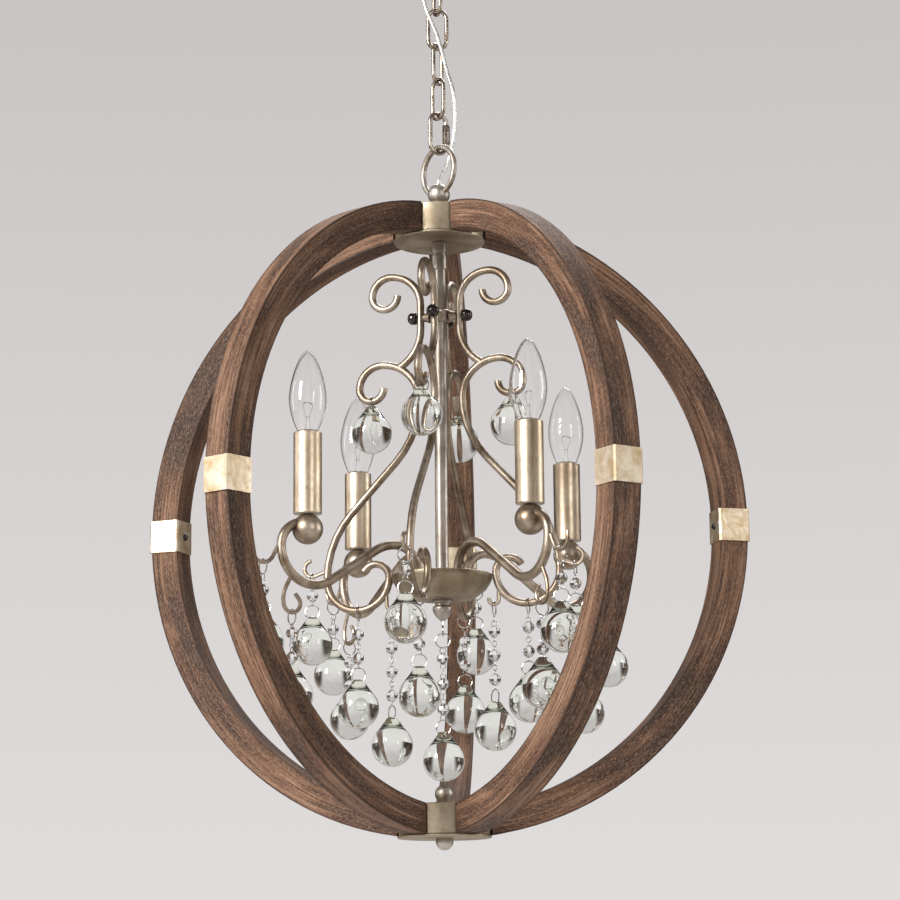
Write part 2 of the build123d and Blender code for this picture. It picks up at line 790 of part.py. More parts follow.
quick_pivot = dip
quick_turn = quick_length / 2 - quick_wire
quick_top = dip + dip_wire + quick_wire + seat
quick_centre = quick_top - quick_turn
quick_form = stadium(quick_length, link_width, quick_wire, wire_sides)
quick_link = Pos(0, 0, quick_centre) * around(quick_form, quick_azimuth)
quick_leg = link_width / 2 - quick_wire
nut_outline = RegularPolygon(quick_nut_radius, wire_sides) - Circle(quick_wire + slip)
quick_nut = extrude(Plane.XY.offset(-quick_nut_length / 2) * nut_outline, quick_nut_length)
quick_nut = Pos(0, 0, quick_centre) * around(Pos(quick_leg, 0, 0) * quick_nut, quick_azimuth)

ring_pivot = quick_top - 2 * quick_turn
ring_top = ring_pivot + quick_wire + ring_ring_wire + seat
ring_centre_z = ring_top - ring_ring_radius
ring_form = hoop(ring_ring_radius, ring_ring_wire, wire_sides)
hanging_ring = Pos(0, 0, ring_centre_z) * around(ring_form, ring_azimuth)
orb_pivot = ring_centre_z - ring_ring_radius
orb_z = orb_pivot - cap_centre

# ---- supply cable: out of the canopy, down beside the chain and into the ball cap
cable_exit = -canopy_height - 1.0
cable_end = orb_z + cap_centre + cap_radius - cable_socket_depth + seat
cable_route = [
    (cable_hole[0], cable_hole[1], cable_exit),
    (-14.9, -8.6, -44.0),
    (-13.6, -9.2, -64.0),
    (-9.6, -9.8, -82.0),
    (-1.5, -9.6, -100.0),
    (3.6, -8.2, -118.0),
    (7.6, -6.2, -136.0),
    (13.4, -5.0, -153.0),
    (15.4, -3.0, -174.0),
    (14.0, -0.6, -194.0),
    (11.0, 2.6, -211.0),
    (6.2, 3.4, -224.0),
    (0.0, 0.0, cable_end + 10.0),
    (0.0, 0.0, cable_end),
]


def cable_radii(route):
    """The largest tangent arc at each corner: 0.45 of the shorter run over tan(half the turn)."""
    points = [Vector(*p) for p in route]
    radii = []
    for a, b, c in zip(points, points[1:], points[2:]):
        turn = radians((b - a).get_angle(c - b))
        radii.append(0.45 * min((b - a).length, (c - b).length) / tan(turn / 2))
    return radii


bends = cable_radii(cable_route)
cable_path = FilletPolyline(*cable_route, radius=bends)
cable_start = Plane(origin=cable_path @ 0, z_dir=cable_path % 0)
supply_cable = sweep(cable_start * RegularPolygon(cable_radius, bead_sides + 2), path=cable_path)
section_area = RegularPolygon(cable_radius, bead_sides + 2).area
print("cable bends", [round(r, 1) for r in bends])
print("cable length", round(cable_path.length, 1), "volume", round(supply_cable.volume, 1),
      "section x length", round(section_area * cable_path.length, 1))

# ---- every node, and the files
fixed_nodes = {
    "ceiling_canopy": canopy,
    "mounting_bar": bar,
    "hanging_loop": hanging_loop,
    "canopy_nut": canopy_nut,
    "supply_cable": supply_cable,
    "quick_link": quick_link,
    "quick_link_nut": quick_nut,
    "hanging_ring": hanging_ring,
}
for i, link in enumerate(chain_links):
    fixed_nodes[f"chain_link_{i + 1}"] = link

orb_nodes = {
    "ball_cap": ball_cap,
    "top_hub": top_hub,
    "bottom_hub": bottom_hub,
    "rib_plates": rib_plates,
    "hub_balls": hub_balls,
    "upper_rib_halves": upper_halves,
    "lower_rib_halves": lower_halves,
    "rib_sleeves": rib_sleeves,
    "sleeve_screws": sleeve_screws,
    "stem": stem,
    "stem_couplers": couplers,
    "stem_collar": stem_collar,
    "collar_screws": collar_screws,
    "harp_rods": harp_rods,
    "dish": dish,
    "dish_finial": finial,
    "centre_eye": centre_eye,
    "candle_arms": candle_arms,
    "candle_cups": candle_cups,
    "candle_sleeves": candle_sleeves,
    "lamp_sockets": lamp_sockets,
    "bulb_bases": bulb_bases,
    "bulbs": bulbs,
    "bulb_filaments": bulb_filaments,
}

os.makedirs("parts", exist_ok=True)
for name, piece in fixed_nodes.items():
    export_step(piece, f"parts/{name}.step")
for name, piece in orb_nodes.items():
    export_step(Pos(0, 0, orb_z) * piece, f"parts/{name}.step")
for name, (piece, _, _, _) in drops.items():
    export_step(Pos(0, 0, orb_z) * piece, f"parts/{name}.step")
print("orb centre at", round(orb_z, 2), "nodes", len(fixed_nodes) + len(orb_nodes) + len(drops))
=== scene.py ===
# %% [markdown]
# # An orb chandelier, piece by piece
# The real lamp is a ball of five bent wooden ribs on two metal hubs. Inside it hang a steel
# stem, four scrolled harps, four candle arms and many strings of clear glass drops, and the
# whole ball hangs on a ring, a quick link and a short chain under a ceiling canopy.
# The CAD frame gives every piece its place, so nothing is fitted by eye. This first cell loads
# it.

import math

import bmesh
import bpy
from mathutils import Matrix, Vector


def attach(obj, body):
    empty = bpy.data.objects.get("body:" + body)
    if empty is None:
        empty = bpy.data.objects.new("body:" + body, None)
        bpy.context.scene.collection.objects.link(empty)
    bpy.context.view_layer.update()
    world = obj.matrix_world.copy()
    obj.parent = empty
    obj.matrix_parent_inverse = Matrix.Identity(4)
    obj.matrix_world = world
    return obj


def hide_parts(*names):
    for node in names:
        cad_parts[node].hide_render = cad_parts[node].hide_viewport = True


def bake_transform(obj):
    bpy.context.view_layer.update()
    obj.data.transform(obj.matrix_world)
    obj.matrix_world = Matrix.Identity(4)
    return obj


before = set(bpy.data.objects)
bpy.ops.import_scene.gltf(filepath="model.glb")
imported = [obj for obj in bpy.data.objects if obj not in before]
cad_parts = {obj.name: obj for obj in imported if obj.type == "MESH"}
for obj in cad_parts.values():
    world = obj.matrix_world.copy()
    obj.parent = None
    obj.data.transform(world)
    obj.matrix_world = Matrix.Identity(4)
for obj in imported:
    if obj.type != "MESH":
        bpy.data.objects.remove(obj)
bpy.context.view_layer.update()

# %% [markdown]
# Sizes below are in millimetres, as on a workshop drawing, except in the cable's route, the
# studio and the camera, which are in metres. Heights inside the ball are measured from the
# ball's centre. Azimuths are degrees from the camera's side (-Y) towards +X.
# One function turns a finished mesh into an object: it scales to metres, points the faces
# outwards, shades it smooth with sharp corners kept, and makes it ride on its CAD body. Two
# more copy a form to several azimuths and put one form into another.

# %% Sizes and the functions that finish and copy a piece
MM = 0.001
ORB_HEIGHT = -538.239
HARP_AZIMUTHS = (-15.0, 75.0, 165.0, 255.0)
ARM_AZIMUTHS = (-56.0, 32.5, 124.0, -146.0)
RIB_AZIMUTHS = (31.9, 103.9, 175.9, 247.9, 319.9)
CUP_REACH = 134.968


def finished(name, form, finish, body, nodes, in_orb=True, crease=35):
    """Makes the object of a form, with its finish, its body and the CAD nodes it stands for."""
    if in_orb:
        bmesh.ops.translate(form, vec=(0, 0, ORB_HEIGHT), verts=form.verts)
    bmesh.ops.scale(form, vec=(MM, MM, MM), verts=form.verts)
    bmesh.ops.recalc_face_normals(form, faces=form.faces)
    mesh = bpy.data.meshes.new(name)
    form.to_mesh(mesh)
    form.free()
    mesh.shade_smooth()
    mesh.set_sharp_from_angle(angle=math.radians(crease))
    mesh.materials.append(finish)
    piece = bpy.data.objects.new(name, mesh)
    bpy.context.collection.objects.link(piece)
    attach(piece, body)
    if nodes:
        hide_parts(*nodes)
    print(name, "faces", len(mesh.polygons))
    return piece


def turned_copies(form, azimuths):
    """The form drawn in the XZ plane, turned to each azimuth."""
    mesh = bpy.data.meshes.new("copy")
    form.to_mesh(mesh)
    form.free()
    whole = bmesh.new()
    for azimuth in azimuths:
        before = len(whole.verts)
        whole.from_mesh(mesh)
        whole.verts.ensure_lookup_table()
        turn = Matrix.Rotation(math.radians(azimuth - 90), 3, "Z")
        bmesh.ops.rotate(whole, cent=(0, 0, 0), matrix=turn, verts=whole.verts[before:])
    bpy.data.meshes.remove(mesh)
    return whole


def put_into(whole, part):
    """Adds a form to another one and lets go of it."""
    mesh = bpy.data.meshes.new("part")
    part.to_mesh(mesh)
    part.free()
    whole.from_mesh(mesh)
    bpy.data.meshes.remove(mesh)


# %% [markdown]
# Round turned pieces come off a lathe, so they are made like that here: a few points of half
# the outline, joined by edges, spun once round the axis and merged. The step count is the
# number of facets round the piece.

# %% The lathe
def turn_outline(form, outline, steps=48, at=(0, 0, 0), closed=False):
    """Spins an outline of (radius, height) points once round the axis."""
    points = [form.verts.new((radius, 0, height)) for radius, height in outline]
    edges = [form.edges.new(pair) for pair in zip(points, points[1:])]
    if closed:
        edges.append(form.edges.new((points[-1], points[0])))
    before = set(form.verts) - set(points)
    bmesh.ops.spin(
        form, geom=points + edges, cent=(0, 0, 0), axis=(0, 0, 1),
        angle=math.tau, steps=steps, use_merge=True,
    )
    fresh = [v for v in form.verts if v not in before]
    bmesh.ops.remove_doubles(form, verts=fresh, dist=0.001)
    fresh = [v for v in form.verts if v not in before]
    bmesh.ops.translate(form, vec=at, verts=fresh)


def ball_outline(radius, low, high, count, centre):
    """Points of half a ball's outline between two latitudes."""
    latitudes = [math.radians(low + (high - low) * i / count) for i in range(count + 1)]
    return [
        (max(radius * math.cos(a), 0.0), centre + radius * math.sin(a)) for a in latitudes
    ]


# %% [markdown]
# Scrolls, hooks, rings and chain links are bent from round rod. A smith starts with a straight
# end and bends it round one former after another. The next function does the same: a circle is
# spun about each bend's centre, or pushed straight ahead, so every rod keeps its round section.

# %% The bending bench
def bend_rod(form, start, heading, moves, radius, sides=14, closed=False, step=9.0):
    """Each move is a bend radius with its turn in degrees, or zero with a length."""
    x, z, h = start[0], start[1], math.radians(heading)
    facing = Matrix(((0, -math.sin(h), math.cos(h), x), (1, 0, 0, 0),
                     (0, math.cos(h), math.sin(h), z), (0, 0, 0, 1)))
    made = bmesh.ops.create_circle(
        form, cap_ends=False, radius=radius, segments=sides, matrix=facing
    )
    ring = made["verts"] + list({e for v in made["verts"] for e in v.link_edges})
    first = [g for g in ring if isinstance(g, bmesh.types.BMEdge)]
    for bend, amount in moves:
        if bend == 0:
            ahead = Vector((math.cos(h), 0, math.sin(h))) * amount
            turned = bmesh.ops.spin(
                form, geom=ring, cent=(0, 0, 0), axis=(0, -1, 0), dvec=ahead, angle=0, steps=1
            )
            x, z = x + ahead.x, z + ahead.z
        else:
            side = 1 if amount > 0 else -1
            centre = Vector((x - bend * side * math.sin(h), 0, z + bend * side * math.cos(h)))
            angle = math.radians(abs(amount))
            steps = max(1, math.ceil(abs(amount) / step))
            turned = bmesh.ops.spin(
                form, geom=ring, cent=centre, axis=(0, -side, 0), angle=angle, steps=steps
            )
            h += side * angle
            x = centre.x + bend * side * math.sin(h)
            z = centre.z - bend * side * math.cos(h)
        ring = turned["geom_last"]
    last = [g for g in ring if isinstance(g, bmesh.types.BMEdge)]
    if closed:
        bmesh.ops.remove_doubles(form, verts=form.verts, dist=0.01)
    else:
        bmesh.ops.contextual_create(form, geom=first)
        bmesh.ops.contextual_create(form, geom=last)


# %% [markdown]
# Materials share two helpers: one turns the hex colours seen in the photograph into the linear
# values that the shader wants, and one adds a node with its settings and its inputs.

# %% Colour and node helpers
def linear(code):
    """An sRGB hex colour as linear red, green, blue and alpha."""
    values = [int(code[i:i + 2], 16) / 255 for i in (1, 3, 5)]
    return tuple(
        v / 12.92 if v <= 0.04045 else ((v + 0.055) / 1.055) ** 2.4 for v in values
    ) + (1.0,)


def add(tree, kind, inputs=None, stops=None, **settings):
    """Adds a node. An input that is a socket is linked, any other is set on the node."""
    node = tree.nodes.new(kind)
    for key, value in settings.items():
        setattr(node, key, value)
    if stops:
        ramp = node.color_ramp
        while len(ramp.elements) < len(stops):
            ramp.elements.new(0.5)
        for element, (place, colour) in zip(ramp.elements, stops):
            element.position = place
            element.color = linear(colour) if isinstance(colour, str) else (colour,) * 3 + (1,)
    for key, value in (inputs or {}).items():
        if isinstance(value, bpy.types.NodeSocket):
            tree.links.new(value, node.inputs[key])
        else:
            node.inputs[key].default_value = value
    return node


def new_finish(name, **constants):
    finish = bpy.data.materials.new(name)
    finish.use_nodes = True
    shader = finish.node_tree.nodes["Principled BSDF"]
    for key, value in constants.items():
        shader.inputs[key.replace("_", " ")].default_value = value
    return finish, finish.node_tree, shader


# %% [markdown]
# **Weathered wood.** The ribs are bent hardwood, stained brown, then brushed and rubbed back so
# that the grain stays pale on its ridges and dark in its pores. Grain follows the bend. The ribs
# are arcs about the ball's centre, so the pattern is laid out in the ball's own directions: how
# far along the arc, how far across the rib, and how deep. The long streaks come from noise
# squeezed across the grain, the blotches from wide soft noise.

# %% Weathered wood
RIB_MIDDLE = 0.2625
HALF_SECTOR = math.radians(36)


def make_wood():
    wood, tree, shader = new_finish("weathered_stained_wood", Specular_IOR_Level=0.35)
    place = add(tree, "ShaderNodeTexCoord")
    centred = add(
        tree, "ShaderNodeMapping",
        {"Vector": place.outputs["Object"], "Location": (0, 0, -ORB_HEIGHT * MM)},
    )
    axes = add(tree, "ShaderNodeSeparateXYZ", {0: centred.outputs[0]})
    level = add(tree, "ShaderNodeCombineXYZ", {"X": axes.outputs[0], "Y": axes.outputs[1]})
    reach = add(tree, "ShaderNodeVectorMath", {0: level.outputs[0]}, operation="LENGTH")
    depth = add(tree, "ShaderNodeVectorMath", {0: centred.outputs[0]}, operation="LENGTH")
    rise = add(tree, "ShaderNodeMath", {0: axes.outputs[2], 1: reach.outputs["Value"]},
               operation="ARCTAN2")
    around = add(tree, "ShaderNodeMath", {0: axes.outputs[1], 1: axes.outputs[0]},
                 operation="ARCTAN2")
    first_rib = math.radians(RIB_AZIMUTHS[0] - 90)
    shifted = add(tree, "ShaderNodeMath", {0: around.outputs[0], 1: first_rib},
                  operation="SUBTRACT")
    off_rib = add(tree, "ShaderNodeMath",
                  {0: shifted.outputs[0], 1: HALF_SECTOR, 2: -HALF_SECTOR},
                  operation="WRAP")
    which = add(tree, "ShaderNodeMath", {0: shifted.outputs[0], 1: off_rib.outputs[0]},
                operation="SUBTRACT")
    sideways = add(tree, "ShaderNodeMath", {0: off_rib.outputs[0]}, operation="SINE")
    across = add(tree, "ShaderNodeMath", {0: sideways.outputs[0], 1: reach.outputs["Value"]},
                 operation="MULTIPLY")
    # Radians become metres along the arc, and each rib takes another stretch of the pattern.
    along_arc = add(tree, "ShaderNodeMath", {0: rise.outputs[0], 1: 0.262},
                    operation="MULTIPLY")
    long_way = add(tree, "ShaderNodeMath", {0: which.outputs[0], 1: 3.1, 2: along_arc.outputs[0]},
                   operation="MULTIPLY_ADD")
    grain_place = add(tree, "ShaderNodeCombineXYZ",
                      {"X": across.outputs[0], "Y": depth.outputs["Value"],
                       "Z": long_way.outputs[0]})
    # Grain lines about 1.6 mm apart that run for some 65 mm.
    streak_place = add(tree, "ShaderNodeMapping",
                       {"Vector": grain_place.outputs[0], "Scale": (620, 620, 15)})
    streaks = add(tree, "ShaderNodeTexNoise",
                  {"Vector": streak_place.outputs[0], "Scale": 1.0, "Detail": 5.0,
                   "Roughness": 0.62, "Distortion": 0.12})
    # Open pores rubbed with pale wax, under a millimetre wide and three long.
    pore_place = add(tree, "ShaderNodeMapping",
                     {"Vector": grain_place.outputs[0], "Scale": (1300, 1300, 330)})
    pores = add(tree, "ShaderNodeTexNoise",
                {"Vector": pore_place.outputs[0], "Scale": 1.0, "Detail": 3.0,
                 "Roughness": 0.75})
    # Zones of stain, some 100 mm long and 20 mm wide.
    blotch_place = add(tree, "ShaderNodeMapping",
                       {"Vector": grain_place.outputs[0], "Scale": (52, 52, 10)})
    blotches = add(tree, "ShaderNodeTexNoise",
                   {"Vector": blotch_place.outputs[0], "Scale": 1.0, "Detail": 3.0,
                    "Roughness": 0.6, "Distortion": 0.4})
    stain = add(tree, "ShaderNodeValToRGB", {"Fac": streaks.outputs[0]},
                stops=[(0.34, "#402B1F"), (0.46, "#644734"), (0.56, "#7E5F49"),
                       (0.66, "#9D7D67")])
    dark = add(tree, "ShaderNodeValToRGB", {"Fac": blotches.outputs[0]},
               stops=[(0.36, "#4C3729"), (0.46, "#8F7665"), (0.55, "#DCCFC4"), (0.64, "#FFFFFF")])
    toned = add(tree, "ShaderNodeMix",
                {"Factor": 0.85, 6: stain.outputs[0], 7: dark.outputs[0]},
                data_type="RGBA", blend_type="MULTIPLY")
    rubbed = add(tree, "ShaderNodeValToRGB", {"Fac": pores.outputs[0]},
                 stops=[(0.48, 0.0), (0.66, 0.40)])
    worn = add(tree, "ShaderNodeMix",
               {"Factor": rubbed.outputs[0], 6: toned.outputs[2], 7: linear("#B2957E")},
               data_type="RGBA")
    # Painted shade: the four long corners, where both faces end, are darkened towards dark brown
    # to stand in for the shade on the broken edges. A face ends 12.5 mm from the section's
    # middle.
    side = add(tree, "ShaderNodeMath", {0: across.outputs[0]}, operation="ABSOLUTE")
    middle = add(tree, "ShaderNodeMath", {0: depth.outputs["Value"], 1: RIB_MIDDLE},
                 operation="SUBTRACT")
    layer = add(tree, "ShaderNodeMath", {0: middle.outputs[0]}, operation="ABSOLUTE")
    corner = add(tree, "ShaderNodeMath", {0: side.outputs[0], 1: layer.outputs[0]},
                 operation="MINIMUM")
    painted_edge_shade = add(tree, "ShaderNodeMapRange",
                      {0: corner.outputs[0], 1: 0.0108, 2: 0.0120, 3: 0.0, 4: 0.75})
    # The wood's colour, with the painted edge shade laid over its corners.
    stained = add(tree, "ShaderNodeMix",
                  {"Factor": painted_edge_shade.outputs[0], 6: worn.outputs[2], 7: linear("#2E1D13")},
                  data_type="RGBA")
    tree.links.new(stained.outputs[2], shader.inputs["Base Color"])
    rough = add(tree, "ShaderNodeMapRange", {0: streaks.outputs[0], 3: 0.62, 4: 0.85})
    tree.links.new(rough.outputs[0], shader.inputs["Roughness"])
    height = add(tree, "ShaderNodeMath", {0: streaks.outputs[0], 1: pores.outputs[0]},
                 operation="ADD")
    bump = add(tree, "ShaderNodeBump",
               {"Height": height.outputs[0], "Strength": 0.55, "Distance": 0.0006})
    tree.links.new(bump.outputs[0], shader.inputs["Normal"])
    return wood


wood = make_wood()

# %% [markdown]
# **Metals.** The rods, cups, hubs and bands are steel under leaf and a thin lacquer that is
# rubbed back, so gold shows in some places and silver in others. The stem, balls and rings are
# plain satin nickel, and the collar's button heads are dark nickel. All metals share one
# recipe: soft noise mixes two metal colours, and a finer noise some 3 mm across varies the
# gloss and dents the surface a little.

# %% Metal finishes
def make_metal(name, pale, deep, patch_mm, roughness, metallic=1.0):
    metal, tree, shader = new_finish(name, Metallic=metallic)
    place = add(tree, "ShaderNodeTexCoord")
    patches = add(tree, "ShaderNodeTexNoise",
                  {"Vector": place.outputs["Object"], "Scale": 1000 / patch_mm, "Detail": 5.0,
                   "Roughness": 0.65, "Distortion": 0.4})
    colours = add(tree, "ShaderNodeValToRGB", {"Fac": patches.outputs[0]},
                  stops=[(0.36, deep), (0.62, pale)])
    tree.links.new(colours.outputs[0], shader.inputs["Base Color"])
    wear = add(tree, "ShaderNodeTexNoise",
               {"Vector": place.outputs["Object"], "Scale": 350.0, "Detail": 4.0})
    gloss = add(tree, "ShaderNodeMapRange",
                {0: wear.outputs[0], 1: 0.3, 2: 0.7, 3: roughness - 0.07, 4: roughness + 0.09})
    tree.links.new(gloss.outputs[0], shader.inputs["Roughness"])
    bump = add(tree, "ShaderNodeBump",
               {"Height": wear.outputs[0], "Strength": 0.08, "Distance": 0.0001})
    tree.links.new(bump.outputs[0], shader.inputs["Normal"])
    return metal


# Champagne leaf on bent rod: satin, grey-gold with browner hollows.
champagne = make_metal("antique_champagne_leaf", "#B8AA99", "#7D6B58", 26, 0.40)
# Gold and silver leaf laid on folded sheet: pale, patchy, hardly glossy.
leafed_band = make_metal("gold_and_silver_leaf_band", "#E0D3BF", "#BFA57E", 14, 0.50)
# Brass leaf brushed on turned steel: a soft sheen with deeper patches.
hub_leaf = make_metal("brushed_antique_brass_leaf", "#AC9F8A", "#85755E", 30, 0.46, 0.95)
# Nickel plate on turned steel, satin: warm grey with broad highlights.
nickel = make_metal("satin_nickel", "#BCB4AA", "#928677", 30, 0.42)
# Dark nickel plate, polished: nearly black with sharp lights.
dark_nickel = make_metal("dark_nickel", "#5A5450", "#2E2A28", 6, 0.20)
# Nickel on drawn chain, aged: small flecks of bright and brown.
chain_metal = make_metal("aged_nickel_chain", "#B7ADA0", "#7B6A58", 7, 0.25)
# Pearl lacquer on drawn tube: warm and even with one long highlight.
pearl = make_metal("pearl_champagne_lacquer", "#D0C0AA", "#B8A48A", 30, 0.40)
# Bright drawn wire: thin white lights on grey.
silver_wire = make_metal("silver_wire", "#D4D2CF", "#A9A6A2", 8, 0.18)
# Pressed brass: plain yellow, mostly hidden in the sleeve.
lamp_brass = make_metal("lamp_cap_brass", "#C9A45C", "#A07C3C", 8, 0.3)


# %% [markdown]
# **Glass.** Drops, beads and lamp bulbs are solid or blown clear glass: full transmission, an
# index near 1.5 and no roughness, only a slow ripple in the surface. Thick soda glass looks
# faintly green where the light travels far in it, so the drops also absorb a little red and
# blue in their volume.

# %% Glass finishes
def make_glass(name, tint, index, absorb=None, density=0.0):
    glass, tree, shader = new_finish(
        name, Base_Color=linear(tint), Transmission_Weight=1.0, IOR=index, Roughness=0.0
    )
    place = add(tree, "ShaderNodeTexCoord")
    seeds = add(tree, "ShaderNodeTexNoise",
                {"Vector": place.outputs["Object"], "Scale": 60.0, "Detail": 1.0})
    ripple = add(tree, "ShaderNodeBump",
                 {"Height": seeds.outputs[0], "Strength": 0.05, "Distance": 0.0006})
    tree.links.new(ripple.outputs[0], shader.inputs["Normal"])
    if absorb:
        volume = add(tree, "ShaderNodeVolumeAbsorption",
                     {"Color": linear(absorb), "Density": density})
        output = tree.nodes["Material Output"]
        tree.links.new(volume.outputs[0], output.inputs["Volume"])
    return glass


# Pressed soda glass: clear, faintly green where it is thick.
drop_glass = make_glass("clear_pressed_glass", "#FFFFFF", 1.5, "#BFD4A8", 3.5)
# The same glass in the cone of the neck, where its green gathers.
neck_glass = make_glass("green_tinged_neck_glass", "#E3E9D2", 1.5)
# Cut crystal: a higher index, so its facets sparkle.
bead_glass = make_glass("cut_crystal", "#FFFFFF", 1.56)
# Blown lamp glass in a thin wall, with a low index: seen only at its edges.
bulb_glass = make_glass("blown_lamp_glass", "#FFFFFF", 1.46)


# %% [markdown]
# **Plastics.** The lamp holders are moulded in cream plastic, even and with a dull gloss. The
# supply cable is silver wire in a clear jacket, so it takes the metal recipe at half metal.

# %% Plastic finishes
def make_holder_plastic():
    plastic, tree, shader = new_finish("moulded_lamp_holder", Roughness=0.45)
    place = add(tree, "ShaderNodeTexCoord")
    mottle = add(tree, "ShaderNodeTexNoise",
                 {"Vector": place.outputs["Object"], "Scale": 400.0})
    colour = add(tree, "ShaderNodeValToRGB", {"Fac": mottle.outputs[0]},
                 stops=[(0.3, "#D8D2C4"), (0.7, "#E6E0D3")])
    tree.links.new(colour.outputs[0], shader.inputs["Base Color"])
    return plastic


holder_plastic = make_holder_plastic()
# Silver wire seen through a clear moulded jacket: bright, with sharp white lights.
clear_jacket = make_metal("silver_wire_in_clear_jacket", "#E2E0DC", "#B9B6B0", 3, 0.16, 0.55)


# %% [markdown]
# ## The ribs
# The CAD ribs already have their bend, their square section and broken edges, so they keep
# their mesh and only get the wood. The bands that join their halves are folded sheet with leaf
# on it, and the mounting bar above the canopy is plain plated steel.

# %% Finishes on the CAD nodes that stay
def dress(node, finish):
    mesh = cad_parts[node].data
    mesh.materials.clear()
    mesh.materials.append(finish)


dress("upper_rib_halves", wood)
dress("lower_rib_halves", wood)
dress("rib_sleeves", leafed_band)
dress("mounting_bar", nickel)

# %% [markdown]
# ## Hubs, plates and balls
# Each hub is a turned drum on a round plate: the ribs' ends meet it all round. The lower hub
# has a small ball on top and another under its plate, which is the bolt's cap nut. The lathe
# makes all of them, and the stem with its couplings and collar. Corners get a small round by an
# extra point, because real turned edges catch a line of light.

# %% Hubs, plates, balls and stem
UPPER_FOOT, UPPER_TOP = 246.759, 272.249
LOWER_FOOT, LOWER_TOP = -272.549, -246.759
CAP_CENTRE = 289.069
COLLAR_MIDDLE = 178.0

hubs = bmesh.new()
for low, high in ((UPPER_FOOT, UPPER_TOP), (LOWER_FOOT, LOWER_TOP)):
    turn_outline(hubs, [(5.9, low), (37.9, low), (38.5, low + 0.6), (38.5, high - 0.6),
                        (37.9, high), (5.9, high)], 96, closed=True)
finished("hub_drums", hubs, hub_leaf, "orb", ["top_hub", "bottom_hub"])

plates = bmesh.new()
for low, bore in ((UPPER_FOOT - 2.02, 5.9), (LOWER_FOOT - 2.02, 4.2)):
    turn_outline(plates, [(bore, low), (39.5, low), (40.0, low + 0.5), (40.0, low + 1.5),
                          (39.5, low + 2.0), (bore, low + 2.0)], 96, closed=True)
finished("hub_plates", plates, hub_leaf, "orb", ["rib_plates"])

balls = bmesh.new()
turn_outline(balls, [(0, -246.739), (6.0, -246.739), (6.0, -245.6), (4.4, -244.6)]
             + ball_outline(7.9, -52, 90, 18, -237.429))
turn_outline(balls, ball_outline(7.5, -90, 19, 16, -277.089) + [(0, -274.65)])
finished("hub_balls_round", balls, nickel, "orb", ["hub_balls"])

cap = bmesh.new()
turn_outline(cap, [(0, UPPER_TOP + 0.02), (8.0, UPPER_TOP + 0.02), (8.2, UPPER_TOP + 0.6),
                   (8.2, UPPER_TOP + 1.8), (5.8, UPPER_TOP + 3.0), (5.0, CAP_CENTRE - 8.6)]
             + ball_outline(9.8, -60, 90, 22, CAP_CENTRE), 64)
finished("ring_ball", cap, nickel, "orb", ["ball_cap"])

stem = bmesh.new()
turn_outline(stem, [(4.2, -72.08), (5.6, -72.08), (5.6, UPPER_TOP), (4.2, UPPER_TOP)], 48,
             closed=True)
finished("stem_tube", stem, nickel, "orb", ["stem"])

couplers = bmesh.new()
for top, length in ((244.719, 9.0), (233.219, 13.0)):
    turn_outline(couplers, [(5.7, top - length), (6.3, top - length), (6.7, top - length + 0.5),
                            (6.7, top - 0.5), (6.3, top), (5.7, top)], 48, closed=True)
finished("stem_couplings", couplers, nickel, "orb", ["stem_couplers"])

collar = bmesh.new()
turn_outline(collar, [(5.7, 172.75), (8.4, 172.75), (9.0, 173.4), (9.0, 182.6), (8.4, 183.25),
                      (5.7, 183.25)], 48, closed=True)
finished("harp_collar", collar, champagne, "orb", ["stem_collar"])

# %% [markdown]
# ## Collar screws
# Four screws hold the harps: between collar and rod sits a cone, and outside the rod a dark
# button head. One cone and one head are turned on the lathe, laid over to point outwards, and
# copied to the four azimuths. The screws of the bands point inwards.

# %% Collar screws and band screws
HARP_AT_COLLAR = 17.5
BAND_INSIDE = 248.2

lay_out = Matrix.Rotation(math.radians(90), 3, "Y")
lay_in = Matrix.Rotation(math.radians(-90), 3, "Y")
cones = bmesh.new()
turn_outline(cones, [(0, 0), (5.2, 0), (4.6, 1.4), (3.2, 5.8), (0, 5.8)], 32)
bmesh.ops.rotate(cones, cent=(0, 0, 0), matrix=lay_out, verts=cones.verts)
bmesh.ops.translate(cones, vec=(9.05, 0, COLLAR_MIDDLE), verts=cones.verts)
cones = turned_copies(cones, HARP_AZIMUTHS)
finished("collar_cones", cones, champagne, "orb", ["collar_screws"])

heads = bmesh.new()
turn_outline(heads, [(0, 0), (3.6, 0), (3.6, 1.0), (5.2, 1.4), (5.4, 2.0), (5.4, 5.0),
                     (4.9, 6.6), (3.6, 7.9), (1.9, 8.7), (0, 9.0)], 32)
bmesh.ops.rotate(heads, cent=(0, 0, 0), matrix=lay_out, verts=heads.verts)
bmesh.ops.translate(heads, vec=(HARP_AT_COLLAR + 2.75, 0, COLLAR_MIDDLE), verts=heads.verts)
heads = turned_copies(heads, HARP_AZIMUTHS)
finished("collar_buttons", heads, dark_nickel, "orb", [])

screws = bmesh.new()
turn_outline(screws, [(0, 0), (3.4, 0), (3.3, 0.7), (2.7, 1.5), (1.5, 2.1), (0, 2.2)], 24)
turn_outline(screws, [(0, -4.0), (1.7, -4.0), (1.7, 0.0), (0, 0.0)], 12)
bmesh.ops.rotate(screws, cent=(0, 0, 0), matrix=lay_in, verts=screws.verts)
bmesh.ops.translate(screws, vec=(BAND_INSIDE, 0, 0), verts=screws.verts)
screws = turned_copies(screws, RIB_AZIMUTHS)
finished("band_screws", screws, dark_nickel, "orb", ["sleeve_screws"])

# %% [markdown]
# ## Harps
# Each harp is two bent rods. The upper one starts in a tight scroll, opens over two wider
# bends and runs down past the collar; the lower one has a scroll of its own, then a long lazy S
# down to a foot scroll. Small hooks of thinner wire are brazed on for the drops.

